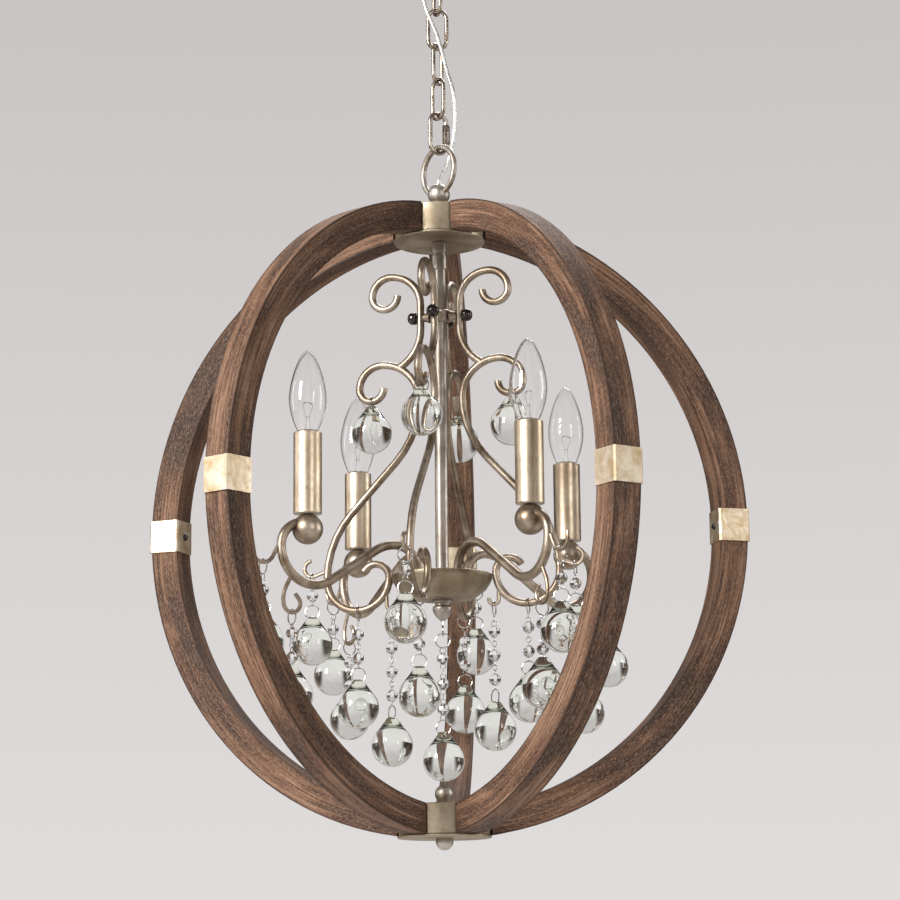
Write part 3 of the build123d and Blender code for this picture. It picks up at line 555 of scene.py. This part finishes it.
# %% Harps
HARP_ROD, HOOK_WIRE = 3.3, 1.75
top_moves = [(11.5, 180), (17.5, 90), (26.5, 90), (0, 22.5), (38.0, 60)]
foot_moves = [(11.0, 180), (21.0, 90), (33.0, 90), (80.0, 43), (0, 58.0), (85.0, -43),
              (28.0, -180), (12.0, -150)]


def one_harp(inner_hook):
    harp = bmesh.new()
    bend_rod(harp, (38.5, 199.5), -90, top_moves, HARP_ROD)
    bend_rod(harp, (51.5, 117.0), -90, foot_moves, HARP_ROD)
    # The J hook, and on two of the harps a hook on the inner curl.
    bend_rod(harp, (105.07, -42.55), -20, [(0, 10.0), (7.0, 190)], HOOK_WIRE, 10)
    if inner_hook:
        bend_rod(harp, (49.72, -66.61), -90, [(0, 7.0), (4.2, -200)], HOOK_WIRE, 10)
    return harp


harps = bmesh.new()
for azimuths, inner in (((HARP_AZIMUTHS[0], HARP_AZIMUTHS[2]), False),
                        ((HARP_AZIMUTHS[1], HARP_AZIMUTHS[3]), True)):
    put_into(harps, turned_copies(one_harp(inner), azimuths))
finished("scrolled_harps", harps, champagne, "orb", ["harp_rods"])

# %% [markdown]
# ## Candle arms
# Four thicker rods rise out of the dish, roll over a crest, dip in a low bend and come up into
# the side of a ball cup. Each carries a J hook and a teardrop hook under its low bend.

# %% Candle arms
ARM_ROD = 3.9

arm = bmesh.new()
bend_rod(arm, (24.6, -67.68), 90,
         [(0, 17.5), (22.0, -90), (38.0, -33), (0, 54.0), (31.0, 123), (20.5, 90)], ARM_ROD, 16)
bend_rod(arm, (163.82, -38.92), -62, [(0, 10.0), (10.5, 170)], HOOK_WIRE, 10)
bend_rod(arm, (151.57, -64.06), -62,
         [(0, 9.0), (22.0, -40), (8.0, -170), (6.0, -40), (0, 5.0)], HOOK_WIRE, 10)
arms = turned_copies(arm, ARM_AZIMUTHS)
finished("candle_arms_bent", arms, champagne, "orb", ["candle_arms"])

# %% [markdown]
# ## Cups, sleeves and lamps
# A ball cup carries a thin pearl sleeve that hides the lamp holder. The lamp is a clear
# torpedo bulb: its glass is a thin wall with a real inside, so it bends light only at its
# edges, and inside stand a glass mount and a fine filament on two wires.

# %% Cups, sleeves, holders and bulbs
AT_CUP = (CUP_REACH, 0, 0)
CANDLE_FOOT, CANDLE_TOP = -9.286, 59.714

cup = bmesh.new()
turn_outline(cup, ball_outline(13.0, -90, 78, 26, -22.022) + [(0, -9.306)], 48, AT_CUP)
finished("ball_cups", turned_copies(cup, ARM_AZIMUTHS), champagne, "orb", ["candle_cups"])

sleeve = bmesh.new()
turn_outline(sleeve, [(10.8, CANDLE_FOOT), (11.7, CANDLE_FOOT), (12.0, CANDLE_FOOT + 0.4),
                      (12.0, CANDLE_TOP - 0.4), (11.7, CANDLE_TOP), (10.8, CANDLE_TOP)],
             64, AT_CUP, closed=True)
finished("candle_tubes", turned_copies(sleeve, ARM_AZIMUTHS), pearl, "orb", ["candle_sleeves"])

holder = bmesh.new()
turn_outline(holder, [(2.0, CANDLE_FOOT), (10.6, CANDLE_FOOT), (10.6, CANDLE_FOOT + 2),
                      (9.0, CANDLE_FOOT + 2), (9.0, 56.7), (6.2, 56.7), (6.2, 37.7),
                      (2.0, 37.7)], 32, AT_CUP, closed=True)
finished("lamp_holders", turned_copies(holder, ARM_AZIMUTHS), holder_plastic, "orb",
         ["lamp_sockets"])

cap_base = bmesh.new()
turn_outline(cap_base, [(0, 38.714), (3.0, 38.714), (6.0, 40.7), (6.0, 60.6), (0, 60.6)],
             32, AT_CUP)
finished("lamp_caps", turned_copies(cap_base, ARM_AZIMUTHS), lamp_brass, "orb", ["bulb_bases"])

GLASS_FOOT, GLASS_RADIUS, GLASS_WALL = 60.734, 16.0, 0.7
GLASS_HEIGHT, INSIDE_HEIGHT = 70.0, 68.0
# How far up the glass, and how wide it is there, as shares of its height and radius.
torpedo = [(0.0, 0.55), (0.04, 0.63), (0.09, 0.72), (0.15, 0.815), (0.22, 0.905), (0.29, 0.965),
           (0.36, 0.995), (0.43, 0.995), (0.50, 0.965), (0.58, 0.91), (0.66, 0.83),
           (0.74, 0.73), (0.82, 0.60), (0.89, 0.46), (0.94, 0.34), (0.975, 0.21),
           (0.992, 0.11), (1.0, 0.0)]
outside = [(GLASS_RADIUS * r, GLASS_FOOT + GLASS_HEIGHT * t) for t, r in torpedo]
inside = [(max(GLASS_RADIUS * r - GLASS_WALL, 0.0), GLASS_FOOT + GLASS_WALL + INSIDE_HEIGHT * t)
          for t, r in torpedo]
bulb = bmesh.new()
turn_outline(bulb, [(4.0, GLASS_FOOT)] + outside, 48, AT_CUP)
turn_outline(bulb, [(4.0, GLASS_FOOT)] + inside, 48, AT_CUP)
bmesh.ops.remove_doubles(bulb, verts=bulb.verts, dist=0.001)
finished("torpedo_bulbs", turned_copies(bulb, ARM_AZIMUTHS), bulb_glass, "orb", ["bulbs"])

mount = bmesh.new()
turn_outline(mount, [(0, 61.75), (3.2, 61.75), (2.4, 64.0), (1.5, 70.0), (1.9, 74.0),
                     (0, 74.6)], 16, AT_CUP)
finished("lamp_mounts", turned_copies(mount, ARM_AZIMUTHS), bulb_glass, "orb", [])

filament = bmesh.new()
bend_rod(filament, (-1.0, 72.5), 112, [(0, 10.0), (3.0, -112), (0, 1.2)], 0.2, 6)
bend_rod(filament, (1.0, 72.5), 68, [(0, 10.0), (3.0, 112), (0, 1.2)], 0.2, 6)
bend_rod(filament, (-3.4, 84.0), 60, [(4.0, -60), (4.0, -60)], 0.35, 6)
bmesh.ops.translate(filament, vec=AT_CUP, verts=filament.verts)
finished("filament_wires", turned_copies(filament, ARM_AZIMUTHS), silver_wire, "orb",
         ["bulb_filaments"])

# %% [markdown]
# ## Dish, finial and eye
# The spun dish hides where the arms start, with a rolled rim. Under it a small turned finial
# ends in a wire eye that carries the longest string of drops.

# %% Dish, finial and eye
dish = bmesh.new()
turn_outline(dish, [(5.8, -72.1), (21.0, -72.1), (26.0, -71.2), (31.0, -68.4), (37.5, -63.5),
                    (41.2, -58.0), (42.7, -55.0), (43.5, -52.0), (43.3, -51.0), (42.6, -50.6),
                    (41.9, -51.0), (41.3, -53.8), (39.6, -57.6), (36.4, -62.2), (29.9, -67.4),
                    (25.4, -69.8), (21.0, -70.6), (5.8, -70.6)], 96, closed=True)
finished("spun_dish", dish, hub_leaf, "orb", ["dish"])

finial = bmesh.new()
turn_outline(finial, [(0, -90.1), (1.9, -90.1), (2.6, -89.4), (4.6, -87.6), (6.6, -85.2),
                      (8.0, -82.4), (8.5, -79.8), (8.3, -78.2), (7.6, -77.4), (6.4, -77.0),
                      (6.2, -75.2), (6.6, -74.7), (8.0, -74.5), (8.4, -74.1), (8.4, -72.6),
                      (8.0, -72.15), (0, -72.15)], 48)
finished("turned_finial", finial, nickel, "orb", ["dish_finial"])

eye = bmesh.new()
bend_rod(eye, (4.2, -98.34), 90, [(4.2, 360)], 0.9, 10, closed=True)
turn_outline(eye, [(0, -94.6), (0.9, -94.6), (0.9, -90.14), (0, -90.14)], 10)
eye = turned_copies(eye, (0.0,))
finished("finial_eye", eye, silver_wire, "orb", ["centre_eye"])


# %% [markdown]
# ## Glass drops
# Every string comes from one kit: a wire ring over the hook, small cut beads joined by wire
# eyes, a second ring, and a heavy clear ball with a conical neck. The shorter ones leave out
# the second ring, and those on the middle scrolls the beads too. The ball is turned on the
# lathe, the beads are turned with few steps and left flat, which makes their facets. Each
# string swings on a body of its own: its ball, wire and beads are separate pieces on it.

# %% One drop and its wire
def wire_loop(form, centre, radius, wire, turn, sides=8, step=15.0):
    """A small round ring that stands upright, turned about the vertical."""
    before = set(form.verts)
    piece = bmesh.new()
    bend_rod(piece, (radius, 0), 90, [(radius, 360)], wire, sides, closed=True, step=step)
    put_into(form, piece)
    fresh = [v for v in form.verts if v not in before]
    spin = Matrix.Rotation(math.radians(turn), 3, "Z")
    bmesh.ops.rotate(form, cent=(0, 0, 0), matrix=spin, verts=fresh)
    bmesh.ops.translate(form, vec=(0, 0, centre), verts=fresh)


DROP_RING, DROP_WIRE = 6.2, 0.6
RING_PLAY = 0.15
BALL_RADIUS, NECK_TOP, NECK_HOLE = 17.75, 24.5, 2.6
BEAD_END, EYE_LENGTH = 4.4, 4.6
NECK_GREEN_FROM = 17.0
BALL_NECK = [(13.4, 11.6), (11.6, 13.8), (9.8, 16.0), (8.2, 18.2), (6.8, 20.2), (5.6, 22.0),
             (4.6, 23.4), (3.6, 24.2), (2.0, 24.5), (0.0, 24.5)]


def hang_drop(node, azimuth, reach, height, wire, beads, first, last, lower_ring,
              ring_turn=0.0, pitch=20.5):
    """Hangs one string from a hook at this reach and height.

    First is the way down from the hook to the first bead, last the way from the last bead to
    the ball's centre.
    """
    ring_centre = wire + RING_PLAY - (DROP_RING - DROP_WIRE)
    bead_heights = [-first - pitch * i for i in range(beads)]
    ball = (bead_heights[-1] if beads else 0.0) - last
    neck = ball + NECK_TOP
    low_ring = neck - NECK_HOLE + DROP_RING
    wires, glass, cut = bmesh.new(), bmesh.new(), bmesh.new()
    wire_loop(wires, ring_centre, DROP_RING, DROP_WIRE, 0.0)
    if lower_ring:
        wire_loop(wires, low_ring, DROP_RING, 0.55, ring_turn)
    string_end = low_ring + DROP_RING if lower_ring else neck - 1.0
    stops = [ring_centre - DROP_RING] + bead_heights + [string_end]
    for upper, lower in zip(stops, stops[1:]):
        top = upper - (BEAD_END if upper in bead_heights else 0.0)
        low = lower + (BEAD_END if lower in bead_heights else 0.0)
        length = top - low
        eyes = max(1, round(length / EYE_LENGTH))
        for i in range(eyes):
            loop = length / eyes / 2
            wire_loop(wires, top - loop * (2 * i + 1), loop + 0.2, 0.32, 90.0 * (i % 2), 6, 24)
    turn_outline(glass, ball_outline(BALL_RADIUS, -90, 40, 20, ball)
                 + [(r, ball + z) for r, z in BALL_NECK], 48)
    for z in bead_heights:
        turn_outline(cut, [(0, z - 4.9), (1.9, z - 4.9), (4.6, z - 2.4), (5.3, z), (4.6, z + 2.4),
                           (1.9, z + 4.9), (0, z + 4.9)], 8)
    place = Matrix.Rotation(math.radians(azimuth), 3, "Z")
    a = math.radians(azimuth)
    spot = (math.sin(a) * reach, -math.cos(a) * reach, height)
    for form in (wires, glass, cut):
        bmesh.ops.rotate(form, cent=(0, 0, 0), matrix=place, verts=form.verts)
        bmesh.ops.translate(form, vec=spot, verts=form.verts)
    body = node + "_body"
    drop = finished(node + "_ball", glass, drop_glass, body, [node])
    drop.data.materials.append(neck_glass)
    neck_foot = (height + ball + NECK_GREEN_FROM + ORB_HEIGHT) * MM
    for face in drop.data.polygons:
        face.material_index = int(face.center.z > neck_foot)
    finished(node + "_wire", wires, silver_wire, body, [])
    if beads:
        finished(node + "_beads", cut, bead_glass, body, [], crease=10)
    else:
        cut.free()


# %% Hang all the drops
for i, azimuth in enumerate(ARM_AZIMUTHS, 1):
    hang_drop(f"arm_drop_{i}", azimuth, 177.79, -53.32, HOOK_WIRE, 1, 23.5, 42.5, True, -azimuth)
    hang_drop(f"arm_low_drop_{i}", azimuth, 150.06, -93.24, HOOK_WIRE, 2, 17.0, 31.0, False)
for i, azimuth in enumerate(HARP_AZIMUTHS, 1):
    hang_drop(f"harp_drop_{i}", azimuth, 116.86, -46.39, HOOK_WIRE, 1, 17.0, 42.5, True, -azimuth)
    hang_drop(f"harp_low_drop_{i}", azimuth, 75.38, -77.95, HARP_ROD, 2, 21.0, 42.5, True,
              -azimuth)
    hang_drop(f"scroll_drop_{i}", azimuth, 62.5, 106.0, HARP_ROD, 0, 0.0, 28.5, False)
hang_drop("harp_inner_drop_2", 75.0, 45.52, -77.81, HOOK_WIRE, 3, 23.5, 42.5, True, 45.0)
hang_drop("harp_inner_drop_4", 255.0, 45.52, -77.81, HOOK_WIRE, 3, 34.0, 42.5, True, 45.0)
hang_drop("centre_drop", 0.0, 0.0, -102.54, 0.9, 3, 20.0, 43.5, True, 0.0, 21.72)

# %% [markdown]
# ## Ring, quick link, chain and canopy
# The ball hangs from a heavy ring through its cap. A quick link with a sleeve nut joins the
# ring to the chain, whose links stand crosswise to each other. Rings and links are bent from
# rod on the same bench as the scrolls. The canopy is out of the photograph; it follows the
# common spun cup.

# %% Ring, links and canopy
CHAIN_LINKS = ((20.0, -63.37), (95.0, -95.87), (153.0, -128.37), (36.0, -160.87))
QUICK_LINK = (119.0, -192.97)
QUICK_BEND = 8.0


def stand(form, azimuth, height):
    """Turns a form drawn in the XZ plane to its azimuth and lifts it."""
    form = turned_copies(form, (azimuth,))
    bmesh.ops.translate(form, vec=(0, 0, height), verts=form.verts)
    return form


def bent_link(bend, wire):
    link = bmesh.new()
    bend_rod(link, (bend, -10.0), 90, [(0, 20.0), (bend, 180), (0, 20.0), (bend, 180)],
             wire, 14, closed=True)
    return link


ring = bmesh.new()
bend_rod(ring, (21.5, 0), 90, [(21.5, 360)], 2.5, 20, closed=True, step=5.0)
finished("cap_ring", stand(ring, 39.0, -227.67), nickel, "ring", ["hanging_ring"], in_orb=False)

for i, (azimuth, height) in enumerate(CHAIN_LINKS, 1):
    finished(f"bent_link_{i}", stand(bent_link(8.2, 1.8), azimuth, height), chain_metal,
             f"link_{i}", [f"chain_link_{i}"], in_orb=False)

finished("quick_link_rod", stand(bent_link(QUICK_BEND, 2.0), *QUICK_LINK), chain_metal,
         "quick", ["quick_link"], in_orb=False)

NUT_LENGTH = 17.5
nut = bmesh.new()
bmesh.ops.create_circle(nut, cap_ends=True, radius=3.3, segments=6)
raised = bmesh.ops.extrude_face_region(nut, geom=list(nut.faces))
bmesh.ops.translate(nut, vec=(0, 0, NUT_LENGTH),
                    verts=[g for g in raised["geom"] if isinstance(g, bmesh.types.BMVert)])
bmesh.ops.bevel(nut, geom=list(nut.edges), offset=0.35, segments=2, affect="EDGES",
                profile=0.5, material=-1)
bmesh.ops.translate(nut, vec=(QUICK_BEND, 0, -NUT_LENGTH / 2), verts=nut.verts)
finished("sleeve_nut", stand(nut, *QUICK_LINK), chain_metal, "quick_nut",
         ["quick_link_nut"], in_orb=False, crease=25)

loop = bmesh.new()
bend_rod(loop, (9.0, -40.52), 90, [(9.0, 360)], 2.25, 16, closed=True)
turn_outline(loop, [(0, -33.5), (2.8, -33.5), (5.4, -31.9), (5.8, -31.4), (5.8, -30.2),
                    (4.8, -30.0), (4.8, -0.4), (4.4, 0.0), (0, 0.0)], 32)
finished("canopy_loop", turned_copies(loop, (110.0,)), nickel, "ceiling", ["hanging_loop"],
         in_orb=False)

ring_nut = bmesh.new()
turn_outline(ring_nut, [(4.95, -30.0), (8.2, -30.0), (8.9, -29.4), (9.0, -28.5), (9.0, -26.2),
                        (8.5, -25.1), (4.95, -25.02)], 48, closed=True)
finished("canopy_ring_nut", ring_nut, nickel, "ceiling", ["canopy_nut"], in_orb=False)

canopy = bmesh.new()
turn_outline(canopy, [(4.95, -25.0), (16.0, -25.0), (26.0, -24.1), (38.4, -21.5), (48.0, -17.5),
                      (54.6, -13.0), (59.4, -7.8), (62.0, -3.0), (62.0, 0.0), (60.8, 0.0),
                      (60.8, -3.0), (58.2, -7.5), (53.4, -12.5), (47.0, -16.5), (37.8, -20.3),
                      (25.8, -22.9), (16.0, -23.8), (4.95, -23.8)], 96, closed=True)
finished("spun_canopy", canopy, nickel, "ceiling", ["ceiling_canopy"], in_orb=False)

# %% [markdown]
# ## Supply cable
# A clear-jacketed silver cable leaves the canopy, wanders down beside the chain and enters the
# ball cap. It is one smooth spline through the route's corners. The chain under it can swing at
# seven joints, so the cable is cut in seven lengths, one for each joint. Where one length ends
# the next begins, at the same point and direction.

# %% Supply cable
CABLE_ROUTE = [
    (-0.0145, -0.0080, -0.0260), (-0.0149, -0.0086, -0.0440), (-0.0136, -0.0092, -0.0640),
    (-0.0096, -0.0098, -0.0820), (-0.0015, -0.0096, -0.1000), (0.0036, -0.0082, -0.1180),
    (0.0076, -0.0062, -0.1360), (0.0134, -0.0050, -0.1530), (0.0154, -0.0030, -0.1740),
    (0.0140, -0.0006, -0.1940), (0.0110, 0.0026, -0.2110), (0.0062, 0.0034, -0.2240),
    (0.0, 0.0, -0.23227), (0.0, 0.0, -0.24227),
]
CABLE_RADIUS = 0.00175
CHAIN_BODIES = ["ceiling", "link_1", "link_2", "link_3", "link_4", "quick", "ring", "orb"]

curve = bpy.data.curves.new("cable_route", "CURVE")
curve.dimensions = "3D"
spline = curve.splines.new("NURBS")
spline.points.add(len(CABLE_ROUTE) - 1)
for point, place in zip(spline.points, CABLE_ROUTE):
    point.co = (*place, 1.0)
spline.order_u = 3
spline.use_endpoint_u = True
spline.resolution_u = 24
guide = bpy.data.objects.new("cable_route", curve)
line = bpy.data.meshes.new_from_object(guide)
cable_points = [v.co.copy() for v in line.vertices]
bpy.data.objects.remove(guide)
bpy.data.curves.remove(curve)
bpy.data.meshes.remove(line)
lengths = [0.0]
for a, b in zip(cable_points, cable_points[1:]):
    lengths.append(lengths[-1] + (b - a).length)
print("cable length", round(lengths[-1], 4), "points", len(cable_points))


def cable_piece(name, points):
    """A tube that follows the points: a circle pushed from one to the next."""
    tube = bmesh.new()
    rings = []
    for i, point in enumerate(points):
        ahead = points[min(i + 1, len(points) - 1)] - points[max(i - 1, 0)]
        turn = ahead.to_track_quat("Z", "Y").to_matrix().to_4x4()
        made = bmesh.ops.create_circle(tube, radius=CABLE_RADIUS, segments=12,
                                       matrix=Matrix.Translation(point) @ turn)
        edges = {e for v in made["verts"] for e in v.link_edges}
        if rings:
            bmesh.ops.bridge_loops(tube, edges=list(rings[-1] | edges))
        rings.append(edges)
    bmesh.ops.contextual_create(tube, geom=list(rings[0]))
    bmesh.ops.contextual_create(tube, geom=list(rings[-1]))
    bmesh.ops.recalc_face_normals(tube, faces=tube.faces)
    mesh = bpy.data.meshes.new(name)
    tube.to_mesh(mesh)
    tube.free()
    mesh.shade_smooth()
    mesh.set_sharp_from_angle(angle=math.radians(40))
    mesh.materials.append(clear_jacket)
    piece = bpy.data.objects.new(name, mesh)
    bpy.context.collection.objects.link(piece)
    return piece


share = lengths[-1] / (len(CHAIN_BODIES) - 1)
for i, (upper, lower) in enumerate(zip(CHAIN_BODIES, CHAIN_BODIES[1:])):
    start = min(range(len(lengths)), key=lambda k: abs(lengths[k] - share * i))
    end = min(range(len(lengths)), key=lambda k: abs(lengths[k] - share * (i + 1)))
    path = cable_points[start:end + 1]
    piece = cable_piece(f"cable_{i + 1}", path)
    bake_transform(piece)
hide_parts("supply_cable")

# %% [markdown]
# ## Studio and camera
# The photograph was taken against a plain light wall, from a little below the ball and looking
# up, with a long lens. Here the pale wall is the world itself: it grows a little darker
# upwards. Clear glass on a pale ground needs something dark beside it to draw its edges, and
# photographers stand black cards at the corners of the set for that. The world does the same:
# towards its four corners it turns dark brown, but only for rays that glass bends or metal
# throws back, so no card shows. A pale floor lies half a metre below the ball.

# %% World with a pale wall and dark corner cards
def make_world():
    world = bpy.data.worlds.new("studio")
    world.use_nodes = True
    tree = world.node_tree
    place = add(tree, "ShaderNodeTexCoord")
    axes = add(tree, "ShaderNodeSeparateXYZ", {0: place.outputs["Generated"]})
    # The wall is palest just below the level view and darkest 25 degrees up.
    climb = add(tree, "ShaderNodeMapRange", {0: axes.outputs[2], 1: -0.1, 2: 0.42})
    wall = add(tree, "ShaderNodeValToRGB", {"Fac": climb.outputs[0]},
               stops=[(0.0, "#E7E5E3"), (0.5, "#D8D4D3"), (1.0, "#C2BEBD")])
    diagonal = add(tree, "ShaderNodeMath", {0: axes.outputs[0], 1: axes.outputs[1]},
                   operation="MULTIPLY")
    corner = add(tree, "ShaderNodeMath", {0: diagonal.outputs[0]}, operation="ABSOLUTE")
    # On a level circle that product grows to 0.5 at the diagonals, so the cards stand there.
    card = add(tree, "ShaderNodeMapRange", {0: corner.outputs[0], 1: 0.30, 2: 0.40})
    rays = add(tree, "ShaderNodeLightPath")
    # A ray through a thin lamp bulb crosses four faces and hardly bends: no card for it.
    solid_glass = add(tree, "ShaderNodeMath",
                      {0: rays.outputs["Transmission Depth"], 1: 2.5}, operation="LESS_THAN")
    shown = add(tree, "ShaderNodeMath", {0: card.outputs[0], 1: solid_glass.outputs[0]},
                operation="MULTIPLY")
    carded = add(tree, "ShaderNodeMix",
                 {"Factor": shown.outputs[0], 6: wall.outputs[0], 7: linear("#3B2E25")},
                 data_type="RGBA")
    bent = add(tree, "ShaderNodeMath",
               {0: rays.outputs["Is Glossy Ray"], 1: rays.outputs["Is Transmission Ray"]},
               operation="MAXIMUM")
    # Matt surfaces see a weak warm grey, metal this studio at 0.6 of its strength, glass all.
    ambient = add(tree, "ShaderNodeBackground", {"Color": linear("#8C857E"), "Strength": 0.45})
    dimmed = add(tree, "ShaderNodeMath",
                 {0: rays.outputs["Is Transmission Ray"], 1: 0.4, 2: 0.6},
                 operation="MULTIPLY_ADD")
    cards = add(tree, "ShaderNodeBackground",
                {"Color": carded.outputs[2], "Strength": dimmed.outputs[0]})
    pale = add(tree, "ShaderNodeBackground", {"Color": wall.outputs[0], "Strength": 1.0})
    first = add(tree, "ShaderNodeMixShader",
                {0: bent.outputs[0], 1: ambient.outputs[0], 2: cards.outputs[0]})
    final = add(tree, "ShaderNodeMixShader",
                {0: rays.outputs["Is Camera Ray"], 1: first.outputs[0], 2: pale.outputs[0]})
    tree.links.new(final.outputs[0], tree.nodes["World Output"].inputs["Surface"])
    return world


bpy.context.scene.world = make_world()


# %% Floor
def make_floor_paint():
    """Matt paint that mostly glows like the wall, so that floor and wall read as one."""
    paint, tree, shader = new_finish("painted_studio_floor", Roughness=0.9)
    shader.inputs["Base Color"].default_value = linear("#E0DDDB")
    rays = add(tree, "ShaderNodeLightPath")
    direct = add(tree, "ShaderNodeMath", {0: rays.outputs["Is Camera Ray"], 1: 0.8},
                 operation="MULTIPLY")
    share = add(tree, "ShaderNodeMath",
                {0: direct.outputs[0], 1: rays.outputs["Is Transmission Ray"]},
                operation="MAXIMUM")
    glow = add(tree, "ShaderNodeEmission", {"Color": linear("#E7E5E3"), "Strength": 1.0})
    mixed = add(tree, "ShaderNodeMixShader",
                {0: share.outputs[0], 1: shader.outputs[0], 2: glow.outputs[0]})
    tree.links.new(mixed.outputs[0], tree.nodes["Material Output"].inputs["Surface"])
    return paint


FLOOR_RADIUS, FLOOR_HEIGHT = 9.0, -1.35

floor_form = bmesh.new()
bmesh.ops.create_circle(floor_form, cap_ends=True, radius=FLOOR_RADIUS, segments=96,
                        matrix=Matrix.Translation((0, 0, FLOOR_HEIGHT)))
floor_mesh = bpy.data.meshes.new("studio_floor")
floor_form.to_mesh(floor_mesh)
floor_form.free()
floor_mesh.materials.append(make_floor_paint())
studio_floor = bpy.data.objects.new("studio_floor", floor_mesh)
bpy.context.collection.objects.link(studio_floor)


# %% Soft lights
def soft_box(name, place, aim, size, power):
    lamp = bpy.data.lights.new(name, "AREA")
    lamp.shape = "RECTANGLE"
    lamp.size, lamp.size_y = size
    lamp.energy = power
    light = bpy.data.objects.new(name, lamp)
    light.location = place
    light.rotation_euler = (Vector(aim) - Vector(place)).to_track_quat("-Z", "Y").to_euler()
    light.visible_transmission = False
    bpy.context.collection.objects.link(light)


MIDDLE = (0, 0, -0.54)
soft_box("key_left", (-2.0, -2.0, 0.5), MIDDLE, (1.0, 1.4), 125)
soft_box("fill_front", (1.7, -2.4, 0.1), MIDDLE, (0.6, 1.2), 18)
soft_box("side_right", (2.6, 0.1, 0.0), MIDDLE, (0.8, 1.5), 20)
soft_box("side_left", (-2.6, 0.4, 0.1), MIDDLE, (0.5, 1.4), 8)
soft_box("top_back", (0.4, 1.4, 1.3), MIDDLE, (1.4, 0.9), 36)

# %% Camera
# Place, focal length in pixels and turns in degrees come from a fit to the photograph.
CAMERA_PLACE = (-0.0017, -2.3261, (ORB_HEIGHT - 406.35) * MM)
SENSOR_WIDTH, FOCAL_PIXELS, PHOTO_PIXELS = 36.0, 2737.4, 900
YAW, PITCH, ROLL = -0.232, 11.316, -0.553

camera_data = bpy.data.cameras.new("camera")
camera_data.sensor_width = SENSOR_WIDTH
camera_data.lens = FOCAL_PIXELS * SENSOR_WIDTH / PHOTO_PIXELS
camera = bpy.data.objects.new("camera", camera_data)
camera.matrix_world = (
    Matrix.Translation(CAMERA_PLACE)
    @ Matrix.Rotation(math.radians(YAW), 4, "Z")
    @ Matrix.Rotation(math.radians(90 + PITCH), 4, "X")
    @ Matrix.Rotation(math.radians(ROLL), 4, "Z")
)
bpy.context.collection.objects.link(camera)
bpy.context.scene.camera = camera
bpy.context.scene.view_settings.view_transform = "Standard"
